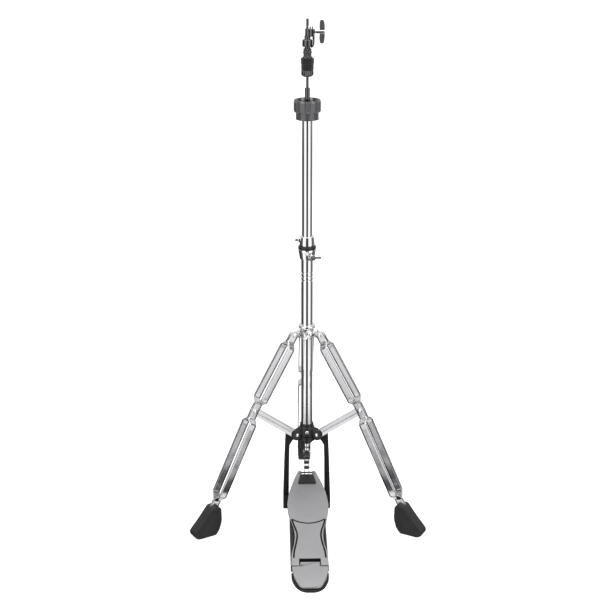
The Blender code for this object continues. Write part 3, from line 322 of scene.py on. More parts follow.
def grooved_tube():
    """Outer radius R - d exp(-((z - g)/w)^2), summed over the rolled grooves g."""
    bottom, top = low("base_tube")[2], high("base_tube")[2]
    sizes = bpy.context.scene.hat_sizes
    grooves = top - 0.039 - 0.0085 * np.arange(3)
    heights = np.unique(np.concatenate([np.linspace(bottom, top, 14), np.linspace(grooves[-1] - 0.004, grooves[0] + 0.004, 60)]))
    dips = np.exp(-((heights[:, None] - grooves) / 0.0013) ** 2).sum(1)
    outside = np.stack([TUBE_R - sizes.groove_depth * dips, heights], -1)
    inside = np.array([[TUBE_R - TUBE_WALL, top], [TUBE_R - TUBE_WALL, bottom]])
    return turned(np.vstack([outside, inside]), 96)


def bar_wing(half_span, start, depth, thickness, shaft_r, shaft_start):
    """A straight wing bolt on its own Z: a shaft, and a bar that narrows by a tenth towards two rounded ends."""
    top = start + depth
    outline = np.array([(0, start + 0.0008), (half_span * 0.55, start), (half_span, start + 0.0012), (half_span, top - 0.0022), (half_span * 0.5, top),
                        (0, top - 0.0004), (-half_span * 0.5, top), (-half_span, top - 0.0022), (-half_span, start + 0.0012),
                        (-half_span * 0.55, start)])
    round_by = [0.004, 0.010, 0.0042, 0.0042, 0.010, 0.004, 0.010, 0.0042, 0.0042, 0.010]
    blade = placed(slab(eased(outline, round_by, 8), -thickness / 2, thickness / 2, 0.0014, 6), (0, 0, 0), ((1, 0, 0), (0, 0, 1), (0, 1, 0)))
    stem = turned(eased([(0, shaft_start), (shaft_r, shaft_start), (shaft_r, start + 0.002), (0, start + 0.002)], [0, 0.0004, 0.0004, 0]), 40)
    return joined(blade, stem)


def wing_shape(half_span, start, depth, thickness, shaft_r, shaft_start, edge=0.0010):
    """A wing bolt on its own Z: a turned shaft, and a blade whose two lobes are arcs that rise past a dipped middle."""
    lobe = depth * 0.42
    top = start + depth
    sweep = np.radians(np.linspace(105, -62, 12))
    right = [(0.0, top - lobe * 1.15), (half_span * 0.38, top - lobe * 0.95)]
    right += np.stack([half_span - lobe + lobe * np.cos(sweep), top - lobe + lobe * np.sin(sweep)], -1).tolist()
    right += [(half_span * 0.45, start + depth * 0.10), (shaft_r * 1.7, start)]
    outline = np.array(right + [(-x, z) for x, z in right[::-1]][:-1])
    blade = slab(outline, -thickness / 2, thickness / 2, edge)
    blade = placed(blade, (0, 0, 0), ((1, 0, 0), (0, 0, 1), (0, 1, 0)))
    stem = turned(eased([(0, shaft_start), (shaft_r, shaft_start), (shaft_r, start - 0.001), (shaft_r * 1.75, start),
                         (shaft_r * 1.75, start + depth * 0.35), (shaft_r * 1.1, start + depth * 0.55), (0, start + depth * 0.58)],
                        [0, 0.0005, 0.0004, 0.0006, 0.0012, 0.0008, 0]), 40)
    return joined(blade, stem)


def build_tubes():
    piece("base_tube_visual", grooved_tube(), "buffed_chrome_plate", "stand_base", "chrome", "base_tube")
    piece("upper_tube_visual", turned(ring(UPPER_R, UPPER_R - TUBE_WALL, low("upper_tube")[2], high("upper_tube")[2]), 96),
          "buffed_chrome_plate", "upper_column", "chrome", "upper_tube")
    bottom, top = low("pull_rod")[2], high("pull_rod")[2]
    piece("pull_rod_visual", turned(eased([(0, bottom), (ROD_R, bottom), (ROD_R, top), (0, top)], [0, 0.0004, 0.0008, 0]), 32),
          "drawn_dark_rod", "pull_rod", "chrome", "pull_rod")


def build_clamps():
    top, bottom = high("height_clamp")[2], low("height_clamp")[2]
    bore = TUBE_R + 0.0003
    shell = turned(eased([(bore, bottom), (bore + 0.0024, bottom), (bore + 0.0032, bottom + 0.004), (0.0183, top - 0.007),
                          (0.0188, top - 0.005), (0.0188, top), (bore + 0.001, top)], 0.0010), 96)
    aim = np.array([math.sin(math.radians(32)), -math.cos(math.radians(32)), 0])
    span = np.array([math.cos(math.radians(32)), math.sin(math.radians(32)), 0])
    centre = np.array([0, 0, bottom + 0.0075])
    boss = placed(turned(eased([(0, bore), (0.0058, bore), (0.0058, bore + 0.0085), (0, bore + 0.0085)], [0, 0, 0.0012, 0]), 40),
                  centre, along(aim, span))
    rib = placed(slab(eased([(-0.0165, 0.0095), (-0.0125, 0.0125), (0.0020, 0.0005), (-0.0005, -0.0040)], 0.0015),
                      bore + 0.0005, bore + 0.0058, 0.0008), centre, along(aim, span))
    piece("height_clamp_visual", joined(shell, boss, rib), "buffed_chrome_plate", "stand_base", "chrome", "height_clamp")
    piece("height_wing_bolt_visual", placed(wing_shape(0.0165, bore + 0.0092, 0.0110, 0.0032, 0.0031, bore + 0.0012), centre, along(aim, span)),
          "turned_black_nickel", "height_wing_bolt", "chrome", "height_wing_bolt")
    bush_top = high("tube_bush")[2]
    piece("tube_bush_visual", turned(eased([(UPPER_R + 0.0004, top + 0.0003), (0.0190, top + 0.0003), (0.0190, bush_top - 0.002),
                                            (0.0172, bush_top), (UPPER_R + 0.0004, bush_top)], 0.0008), 96),
          "moulded_black_nylon", "stand_base", "nylon", "tube_bush")
    lock_low, lock_top = low("memory_lock")[2], high("memory_lock")[2]
    cast = turned(eased([(UPPER_R + 0.0003, lock_low), (0.0161, lock_low), (0.0163, lock_low + 0.003), (0.0152, lock_top - 0.002),
                         (0.0145, lock_top), (UPPER_R + 0.0003, lock_top)], 0.0008), 96)
    mid = np.array([0, 0, lock_top - 0.0075])
    left = along((-1, 0, 0), (0, 0, 1))
    lug = placed(turned(eased([(0, 0.0120), (0.0058, 0.0120), (0.0058, 0.0186), (0, 0.0186)], [0, 0, 0.001, 0]), 40), mid, left)
    piece("memory_lock_visual", joined(cast, lug), "buffed_chrome_plate", "memory_lock", "chrome", "memory_lock")
    head = turned(eased([(0, 0.0127), (0.0025, 0.0127), (0.0025, 0.0190), (0.0044, 0.0192), (0.0044, 0.0252), (0.0030, 0.0265),
                         (0, 0.0265)], [0, 0.0004, 0, 0.0004, 0.0012, 0.0010, 0]), 40)
    piece("memory_lock_screw_visual", placed(head, mid, left), "buffed_chrome_plate", "memory_lock_screw", "chrome", "memory_lock_screw")


def build_seat():
    """Cup: R cut by 8 notches d exp(-(a/w)^2) round its ring, and a top face sunk in 16 pockets."""
    bottom, top = low("seat_cup")[2], high("seat_cup")[2]
    wide = high("seat_cup")[0]
    step = bottom + 0.0165
    count = bpy.context.scene.hat_sizes.seat_lobes

    def lobed(radius, height, angle):
        near = (angle * count / math.tau + 0.5) % 1 - 0.5
        notch = np.exp(-(near / 0.11) ** 2)
        outer = np.clip((radius - 0.0262) / 0.0018, 0, 1) * np.clip((height - step) / 0.002, 0, 1)
        cell = (angle * 2 * count / math.tau) % 1
        pocket = np.clip((0.34 - np.abs(cell - 0.5)) / 0.10, 0, 1)
        across = np.clip(1 - np.abs(radius - 0.0246) / 0.0016, 0, 1) * (height > top - 0.001)
        return radius - 0.0026 * notch * outer, height - 0.0042 * pocket * np.minimum(across * 2.5, 1)

    bore = ROD_R + 0.0008
    outside = eased([(wide - 0.0045, bottom), (0.0236, bottom + 0.0035), (0.0236, step - 0.0008), (wide - 0.0012, step),
                     (wide, step + 0.003), (wide, top - 0.003), (wide - 0.0016, top)], [0.002, 0.002, 0.0004, 0.0006, 0.0015, 0.0015, 0.0008], 6)
    face = np.stack([np.linspace(wide - 0.0018, wide - 0.0062, 16), np.full(16, top)], -1)
    inside = np.array([(wide - 0.0066, top - 0.0006), (wide - 0.0075, top - 0.0170), (bore, top - 0.0170), (bore, bottom)])
    piece("seat_cup_visual", turned(np.vstack([[(bore, bottom)], outside, face, inside[:-1]]), 288, lobed),
          "moulded_grey_abs", "upper_column", "grey_plastic", "seat_cup")
    stem_low, stem_top, radius = low("cup_stem")[2], high("cup_stem")[2], 0.00525
    piece("cup_stem_visual", turned(eased([(bore, stem_low), (0.0105, stem_low), (0.0105, stem_low + 0.0035), (0.0085, stem_low + 0.0085),
                                           (radius, stem_low + 0.0095), (radius, stem_top), (bore, stem_top)], 0.0008), 48),
          "turned_black_nickel", "upper_column", "chrome", "cup_stem")


# ------------------------------------------------------------ tripod
def leg_strip(sign):
    """A strip whose sideways offset eases between foot, spread, knee and lug by s = 3t^2 - 2t^3, with a rounded upper end."""
    upper_length = float(np.hypot(KNEE[1] - LUG[1], LUG[2] - KNEE[2]))
    upper_lean = math.asin((KNEE[1] - LUG[1]) / upper_length)
    lower_lean = math.radians(26.8)
    boot = (KNEE[2] - 0.062) / math.cos(lower_lean)
    marks = np.array([-boot - 0.028, -boot + 0.013, -boot + 0.033, -0.029, -0.016, 0.016, 0.029, upper_length - 0.031,
                      upper_length - 0.015, upper_length + 0.01])
    offsets = np.array([0.00155, 0.00155, 0.0155, 0.0155, 0.00305, 0.00305, 0.0155, 0.0155, 0.00355, 0.00355])
    spans = [np.linspace(a, b, 14, endpoint=False) for a, b in zip(marks[:-2], marks[1:-1])]
    cap = upper_length + 0.00948 * np.sin(np.linspace(0, math.pi / 2, 14))
    t = np.concatenate([*spans, [upper_length - 0.015], cap])
    span = np.clip(np.searchsorted(marks, t, side="right") - 1, 0, len(marks) - 2)
    share = np.clip((t - marks[span]) / (marks[span + 1] - marks[span]), 0, 1)
    offset = offsets[span] + (offsets[span + 1] - offsets[span]) * share ** 2 * (3 - 2 * share)
    lean = np.where(t < 0, lower_lean, upper_lean)
    soft = np.interp(t, [-0.010, 0.010], [lower_lean, upper_lean])
    centres = np.stack([KNEE[1] - np.sin(lean) * t, sign * offset, KNEE[2] + np.cos(lean) * t], -1)
    slope = np.gradient(sign * offset, t)
    forward = np.stack([-np.sin(soft), slope, np.cos(soft)], -1)
    forward /= np.linalg.norm(forward, axis=1, keepdims=True)
    across = np.stack([np.cos(soft), np.zeros_like(t), np.sin(soft)], -1)
    through = np.cross(forward, across)
    half = np.where(t > upper_length, np.sqrt(np.clip(0.0095 ** 2 - (t - upper_length) ** 2, 1e-9, None)), 0.0095)
    u = np.array([-1, -0.93, -0.45, 0, 0.45, 0.93, 1, 1, 0.93, 0.45, 0, -0.45, -0.93, -1])
    v = np.array([0.55, 0.97, 0.995, 1, 0.995, 0.97, 0.55, -0.55, -0.97, -0.995, -1, -0.995, -0.97, -0.55]) * 0.00125
    return swept(centres, across * half[:, None], through, np.stack([u, v], -1))


def dome_rivet(grip, head, rise, shank=0.0028):
    """A rivet on its own Z with a head h cos q, r sin q at each end."""
    q = np.linspace(math.pi / 2, 0, 10)
    upper = np.stack([head * np.cos(q), grip + rise * np.sin(q)], -1)
    upper[0, 0] = 0
    half = np.vstack([upper, [(shank, grip)]])
    return turned(np.vstack([half, half[::-1] * (1, -1)]), 32)


def boot_shape():
    """A boot's side outline carried across its width with rounded rims, and a raised panel on each side."""
    entry = KNEE[1] + (KNEE[2] - 0.062) / math.cos(math.radians(26.8)) * math.sin(math.radians(26.8))
    side = np.array([(-0.0122, 0.060), (-0.006, 0.066), (0.0095, 0.067), (0.030, 0.042), (0.0545, 0.0150), (0.0530, 0.0060),
                     (0.0440, 0.0), (0.0031, 0.0), (-0.0065, 0.0110), (-0.0128, 0.0300)]) + (entry, 0)
    round_by = np.array([0.004, 0.004, 0.005, 0.012, 0.005, 0.004, 0.004, 0.003, 0.006, 0.008])
    axes = ((1, 0, 0), (0, 0, 1), (0, 1, 0))
    half = bpy.context.scene.hat_sizes.boot_width / 2
    body = slab(eased(side, round_by, 8), -half, half, 0.0035, 7)
    centre = np.array([entry + 0.0165, 0.031])
    inner = centre + (side - centre) * (0.74, 0.72)
    panel = slab(eased(inner, round_by * 0.7, 6), -half - 0.0006, half + 0.0006, 0.0008, 3)
    ridge = slab(eased([(entry + 0.001, 0.0585), (entry + 0.0085, 0.0585), (entry + 0.0485, 0.0150), (entry + 0.0440, 0.0115)], 0.002),
                 -half - 0.0011, half + 0.0011, 0.0008, 3)
    return placed(joined(body, panel, ridge), (0, 0, 0), axes)


def build_legs():
    angle = math.atan2(KNEE[2] - HUB_PIVOT[2], KNEE[1] - HUB_PIVOT[1])
    length = float(np.hypot(KNEE[2] - HUB_PIVOT[2], KNEE[1] - HUB_PIVOT[1]))
    ends = np.radians(np.concatenate([np.linspace(90, 270, 18), np.linspace(-90, 90, 18)]))
    shift = np.repeat([0.0, length], 18)
    bar = slab(np.stack([0.009 * np.cos(ends) + shift, 0.009 * np.sin(ends)], -1), -0.0015, 0.0015, 0.0004, 3)
    tilt = np.array([[math.cos(angle), 0, math.sin(angle)], [-math.sin(angle), 0, math.cos(angle)], [0, 1, 0]])
    strut = placed(bar, (HUB_PIVOT[1], 0, HUB_PIVOT[2]), tilt)
    pins = {"knee": ((KNEE[1], 0, KNEE[2]), 0.0046), "lug": ((LUG[1], 0, LUG[2]), 0.0051)}
    cross = ((1, 0, 0), (0, 0, 1), (0, 1, 0))
    for name, azimuth in LEGS.items():
        axes = leg_axes(azimuth)
        body = f"leg_{name}"
        for side, sign in (("left", 1), ("right", -1)):
            piece(f"strip_{name}_{side}_visual", placed(leg_strip(sign), axes=axes), "rolled_strip_chrome", body, "chrome",
                  f"strip_{name}_{side}")
        piece(f"strut_{name}_visual", placed(strut, axes=axes), "rolled_strip_chrome", f"strut_{name}", "chrome", f"strut_{name}")
        for end, (centre, grip) in pins.items():
            pin = placed(placed(dome_rivet(grip, 0.0055, 0.0022), centre, cross), axes=axes)
            piece(f"{end}_rivet_{name}_visual", pin, "buffed_chrome_plate", body, "chrome", f"{end}_rivet_{name}")
        pin = placed(placed(dome_rivet(0.0053, 0.0042, 0.0016), (HUB_PIVOT[1], 0, HUB_PIVOT[2]), cross), axes=axes)
        piece(f"hub_rivet_{name}_visual", pin, "buffed_chrome_plate", "stand_base", "chrome", f"hub_rivet_{name}")
        piece(f"boot_{name}_visual", placed(boot_shape(), axes=axes), "moulded_black_rubber", body, "rubber", f"boot_{name}")


def build_collar():
    bottom, top = low("tripod_collar")[2], high("tripod_collar")[2]
    top = min(top, LUG[2] + 0.018)
    bottom = LUG[2] - 0.009
    bore = TUBE_R + 0.0004
    shell = turned(eased([(bore, bottom), (0.0160, bottom), (0.0165, bottom + 0.002), (0.0165, top - 0.0062), (0.0187, top - 0.0045),
                          (0.0187, top), (bore + 0.0010, top), (bore, top - 0.001)], 0.0008), 96)
    lugs = []
    arcs = np.radians(np.linspace(-85, 75, 18))
    outline = [(bore + 0.0015, bottom + 0.001), (LUG[1] - 0.003, bottom)]
    outline += np.stack([LUG[1] + 0.0095 * np.cos(arcs), LUG[2] + 0.0095 * np.sin(arcs)], -1).tolist()
    outline += [(LUG[1] - 0.002, LUG[2] + 0.0120), (bore + 0.0015, LUG[2] + 0.0137)]
    for azimuth in LEGS.values():
        lugs.append(placed(placed(slab(outline, -0.002, 0.002, 0.0005), axes=((1, 0, 0), (0, 0, 1), (0, 1, 0))), axes=leg_axes(azimuth)))
    swing = math.radians(12)
    aim = np.array([math.sin(swing), -math.cos(swing), 0])
    flat = np.array([math.cos(swing), math.sin(swing), 0])
    centre = np.array([0, 0, LUG[2] + 0.0045])
    boss = turned(eased([(0, bore + 0.001), (0.0062, bore + 0.001), (0.0062, 0.0215), (0, 0.0215)], [0, 0, 0.0010, 0]), 40)
    piece("tripod_collar_visual", joined(shell, *lugs, placed(boss, centre, along(aim, flat))), "buffed_chrome_plate",
          "tripod_collar", "chrome", "tripod_collar")
    turn = math.radians(36)
    span = flat * math.cos(turn) + np.cross(aim, flat) * math.sin(turn)
    piece("collar_wing_bolt_visual", placed(wing_shape(0.0190, 0.0221, 0.0130, 0.0034, 0.0030, bore + 0.0012), centre, along(aim, span)),
          "buffed_chrome_plate", "collar_wing_bolt", "chrome", "collar_wing_bolt")


# ------------------------------------------------------------ hub and pedal frame
FACING = ((1, 0, 0), (0, 0, 1), (0, 1, 0))     # a plan outline stood up in the x-z plane


def build_hub():
    pivot_r, pivot = HUB_PIVOT[1], HUB_PIVOT[2]
    bottom, shoulder, top = pivot - 0.025, pivot - 0.006, pivot + 0.016
    bore = ROD_R + 0.0008
    body = turned(eased([(bore, bottom), (0.0100, bottom), (0.0130, bottom + 0.003), (0.0130, shoulder), (0.0172, shoulder),
                         (0.0172, top - 0.002), (0.0152, top), (0.0150, top + 0.001), (0.0150, top + 0.007), (0.0131, top + 0.007),
                         (0.0131, pivot), (bore, pivot - 0.003)], 0.0010), 96)
    arcs = np.radians(np.linspace(-80, 80, 18))
    outline = [(0.0132, shoulder + 0.0005), (0.0187, shoulder + 0.0005), (pivot_r - 0.003, pivot - 0.0130)]
    outline += np.stack([pivot_r + 0.0125 * np.cos(arcs), pivot + 0.0125 * np.sin(arcs)], -1).tolist()
    outline += [(0.0132, top - 0.001)]
    ears = []
    for azimuth in LEGS.values():
        for start in (0.0018, -0.0050):
            ears.append(placed(placed(slab(outline, start, start + 0.0032, 0.0006), axes=FACING), axes=leg_axes(azimuth)))
    guard = placed(slab(eased([(-0.0127, 0.1410), (-0.0081, 0.1410), (-0.0081, bottom + 0.004), (-0.0127, bottom + 0.004)], 0.001),
                        -0.004, 0.004, 0.0006), axes=FACING)
    piece("lower_hub_visual", joined(body, *ears, guard), "satin_black_powder_coat", "stand_base", "black_steel", "lower_hub")
    screw = turned(eased([(0, 0.0116), (0.0022, 0.0116), (0.0022, 0.0168), (0.0042, 0.0168), (0.0042, 0.0184), (0.0030, 0.0198),
                          (0, 0.0200)], [0, 0.0003, 0, 0.0004, 0.0010, 0.0010, 0]), 40)
    piece("hub_screw_visual", placed(screw, (0, 0, pivot + 0.006), along((0, -1, 0), (1, 0, 0))), "buffed_chrome_plate", "stand_base",
          "chrome", "hub_screw")


def build_frame():
    shoulder = HUB_PIVOT[2] - 0.006
    half = np.array([(0.0160, shoulder - 0.0085), (0.0230, shoulder - 0.0075), (0.0310, shoulder - 0.0125), (0.0382, shoulder - 0.0250),
                     (0.0392, 0.1150), (0.0400, 0.0300), (0.0530, 0.0300), (0.0502, 0.1150), (0.0468, shoulder + 0.0160),
                     (0.0400, shoulder + 0.0100), (0.0300, shoulder + 0.0082), (0.0175, shoulder + 0.0075), (0.0175, shoulder - 0.0040),
                     (0.0160, shoulder - 0.0040)])
    foot = np.array([(0.0400, 0.0), (0.0530, 0.0), (0.0530, 0.031), (0.0400, 0.031)])
    parts = [turned(ring(0.0192, 0.0133, shoulder - 0.010, shoulder - 0.0003), 72)]
    for sign in (-1, 1):
        parts.append(placed(slab(eased(half * (sign, 1), 0.0015, 4), -0.0035, 0.0105, 0.0008), axes=FACING))
        parts.append(placed(slab(eased(foot * (sign, 1), 0.0015, 4), -0.0110, 0.0115, 0.0010), axes=FACING))
    piece("pedal_frame_visual", joined(*parts), "satin_black_powder_coat", "stand_base", "black_steel", "pedal_frame")
    plan = np.array([(0.0397, 0.020), (0.0397, -0.2850), (0.0300, -0.2970), (0.0300, -0.345), (-0.0300, -0.345), (-0.0300, -0.2970),
                     (-0.0397, -0.2850), (-0.0397, 0.020)])
    piece("base_plate_visual", slab(eased(plan, 0.003, 5), 0.0, 0.004, 0.0008), "satin_black_powder_coat", "stand_base", "black_steel",
          "base_plate")


# ------------------------------------------------------------ footboard
def on_board(shape, lift=0.0):
    """Puts a (x, forward, height) shape on the sloping top plane: z = top - forward * rise, height along the plane's normal."""
    normal = np.array([0, -BOARD_RISE, 1]) / math.hypot(1, BOARD_RISE)
    return placed(shape, np.array([0, 0, BOARD_TOP]) + normal * lift, ((1, 0, 0), (0, -1, -BOARD_RISE), normal))


def mirrored(right):
    """An outline closed by its own mirror image: (x, f) and (-x, f)."""
    right = np.asarray(right, float)
    return np.vstack([right, right[::-1] * (-1, 1)])


def band(line, width, lift, depth):
    """A flat band of even width along a line: the line moved by half a width to each side along its normal."""
    line = curve(line, 10)
    slope = np.gradient(line, axis=0)
    slope /= np.linalg.norm(slope, axis=1, keepdims=True)
    side = np.stack([-slope[:, 1], slope[:, 0]], -1) * width / 2
    outline = np.vstack([line + side, (line - side)[::-1]])
    return on_board(slab(outline, lift - depth, lift, 0.00008, 3))


def build_footboard():
    top_side = curve([(-0.0060, 0.0190), (0.0030, 0.0222), (0.0280, 0.0300), (0.0566, 0.0374), (0.0764, 0.0411), (0.1066, 0.0443),
                      (0.1185, 0.0441), (0.1472, 0.0417), (0.1616, 0.0383), (0.1876, 0.0322), (0.2114, 0.0301), (0.2351, 0.0317),
                      (0.2550, 0.0351), (0.2705, 0.0376), (0.3020, 0.0385)], 8)[:, ::-1]
    low_side = curve([(-0.0060, 0.0190), (0.0030, 0.0222), (0.0280, 0.0300), (0.0566, 0.0374), (0.0764, 0.0411), (0.1066, 0.0443),
                      (0.1300, 0.0433), (0.1616, 0.0383), (0.1876, 0.0338), (0.2114, 0.0330), (0.2351, 0.0338), (0.2550, 0.0359),
                      (0.2705, 0.0378), (0.3020, 0.0385)], 8)[:, ::-1]
    notch = [(0.0114, 0.0098), (0.0126, -0.0060)]
    slot = [(0.0221, 0.3020), (0.0221, 0.2810)]
    deck = on_board(slab(mirrored(np.vstack([notch, top_side, slot])), -0.0030, 0.0, 0.0011, 5))
    piece("footboard_visual", deck, "silver_painted_casting", "footboard", "silver_paint", "footboard")
    skirt = on_board(slab(mirrored(np.vstack([notch, low_side, slot])), -0.0085, -0.0027, 0.0010, 4))
    shapes = [skirt]
    for sign in (-1, 1):
        barrel = turned(eased([(0, 0.0226), (0.0056, 0.0226), (0.0056, 0.0375), (0, 0.0375)], [0, 0.0006, 0.0006, 0]), 40)
        shapes.append(placed(barrel, HEEL_PIN, along((sign, 0, 0), (0, 1, 0))))
        lug = np.array([(sign * 0.0122, -0.0078), (sign * 0.0185, -0.0078), (sign * 0.0185, -0.0006), (sign * 0.0122, -0.0006)])
        shapes.append(placed(placed(slab(eased(lug, 0.001), -0.0050, 0.0050, 0.0006), axes=FACING), (0, 0, BOARD_TOP)))
    # The skirt, the heel barrels and the lugs take the side wall's near-black copy of the silver paint: painted shade
    # under the board's rim.
    piece("footboard_skirt", joined(*shapes), "shaded_casting_wall", "footboard", "silver_paint")
    width = bpy.context.scene.hat_sizes.inlay_width
    sag = [(-0.0355, 0.1595), (-0.0200, 0.1683), (0.0, 0.1726), (0.0200, 0.1683), (0.0355, 0.1595)]
    crown = [(-0.0332, 0.2801), (-0.0180, 0.2730), (0.0, 0.2700), (0.0180, 0.2730), (0.0332, 0.2801)]
    lines = [band(sag, width, 0.00012, 0.0006)]
    for sign in (-1, 1):
        side = [(sign * 0.0355, 0.1595), (sign * 0.0318, 0.1770), (sign * 0.0268, 0.1957), (sign * 0.0250, 0.2136),
                (sign * 0.0280, 0.2385), (sign * 0.0318, 0.2600), (sign * 0.0332, 0.2801)]
        lines.append(band(side, width, 0.00014, 0.0006))
    piece("footboard_inlay", joined(*lines), "black_enamel_inlay", "footboard", "black_steel")
    stop = eased(mirrored([(0.0142, 0.0116), (0.0201, 0.0414)]), 0.0015, 5)
    piece("toe_stop_visual", on_board(slab(stop, 0.0003, 0.0043, 0.0010), 0), "moulded_black_rubber", "footboard", "rubber", "toe_stop")
    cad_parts["toe_pin"].data.materials.clear()
    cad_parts["toe_pin"].data.materials.append(look("turned_black_nickel"))


def build_heel():
    right = [(0.0200, 0.2917), (0.0200, 0.3045), (0.0376, 0.3045), (0.0364, 0.3160), (0.0318, 0.3390), (0.0219, 0.3616), (0.0120, 0.3650)]
    plan = eased(mirrored(right), [0.0008, 0.0008, 0.0015] + [0.006] * 8 + [0.0015, 0.0008, 0.0008], 6)
    plate = on_board(slab(plan, -0.0055, 0.0, 0.0012, 5))
    knuckle = turned(eased([(0, -0.0190), (0.0058, -0.0190), (0.0058, 0.0190), (0, 0.0190)], [0, 0.0006, 0.0006, 0]), 40)
    piece("heel_plate_visual", joined(plate, placed(knuckle, HEEL_PIN, along((1, 0, 0), (0, 1, 0)))), "silver_painted_casting",
          "stand_base", "silver_paint", "heel_plate")
    right = [(0.0385, 0.2990), (0.0385, 0.3100), (0.0376, 0.3230), (0.0340, 0.3380), (0.0288, 0.3520), (0.0200, 0.3635), (0.0100, 0.3688)]
    plan = eased(mirrored(right), [0.001] + [0.005] * 12 + [0.001], 6) * (1, -1)
    piece("heel_rubber_visual", slab(plan, 0.0, 0.0052, 0.0008), "moulded_black_rubber", "stand_base", "rubber", "heel_rubber")
    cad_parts["heel_pin"].data.materials.clear()
    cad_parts["heel_pin"].data.materials.append(look("turned_black_nickel"))


# ------------------------------------------------------------ chain drive
def build_clevis():
    bottom, top, radius = CHAIN_TOP - 0.0064, high("clevis")[2], 0.00685
    slot_top, gap = CHAIN_TOP + 0.0069, 0.0044
    cap = turned(eased([(0, slot_top), (radius, slot_top), (radius, top), (0, top)], [0, 0.0002, 0.0010, 0]), 56)
    edge_angle = math.acos(gap / radius)
    angles = np.linspace(-edge_angle, edge_angle, 20)
    cheek = np.stack([radius * np.cos(angles), radius * np.sin(angles)], -1)
    cheeks = [slab(cheek * (sign, 1), bottom, slot_top + 0.0005, 0.0005) for sign in (-1, 1)]
    piece("clevis_visual", joined(cap, *cheeks), "buffed_chrome_plate", "pull_rod", "chrome", "clevis")
    for name, finish in (("clevis_pin", "buffed_chrome_plate"), ("rod_collar", "turned_black_nickel"), ("return_spring", "drawn_spring_wire")):
        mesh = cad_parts[name].data
        mesh.materials.clear()
        mesh.materials.append(look(finish))


def link_plate(start, thickness):
    """A chain plate seen from the side: r(z) swells to 4.6 mm round each pin and narrows to 3 mm between them."""
    z = np.concatenate([[0.0046 * 0.999], np.linspace(0.0044, -CHAIN_PITCH - 0.0044, 40), [-CHAIN_PITCH - 0.0046 * 0.999]])
    near = np.minimum(np.abs(z), np.abs(z + CHAIN_PITCH))
    half = np.maximum(np.sqrt(np.clip(0.0046 ** 2 - near ** 2, 1e-10, None)), np.where((z < 0) & (z > -CHAIN_PITCH), 0.0030, 0))
    outline = np.vstack([np.stack([half, z], -1), np.stack([-half, z], -1)[::-1]])
    return placed(slab(outline, start, start + thickness, 0.00025, 3), axes=((0, 1, 0), (0, 0, 1), (1, 0, 0)))


def build_chain():
    for number in range(4):
        inner = number % 2 == 0
        half = 0.0030 if inner else 0.0045
        spot = np.array([0, 0, CHAIN_TOP - number * CHAIN_PITCH])
        shapes = [placed(link_plate(start, 0.0012), spot) for start in (half, -half - 0.0012)]
        for end in (0, 1):
            radius, reach = (0.0040, half + 0.0002) if inner else (0.0017, half + 0.0022)
            if not inner and number + end == 4:
                continue
            roller = turned(eased([(0, -reach), (radius, -reach), (radius, reach), (0, reach)], [0, 0.0005, 0.0005, 0]), 32)
            shapes.append(placed(roller, spot - (0, 0, end * CHAIN_PITCH), along((1, 0, 0), (0, 1, 0))))
        piece(f"chain_link_{number + 1}_visual", joined(*shapes), "turned_black_nickel", "chain", "dark_steel", f"chain_link_{number + 1}")


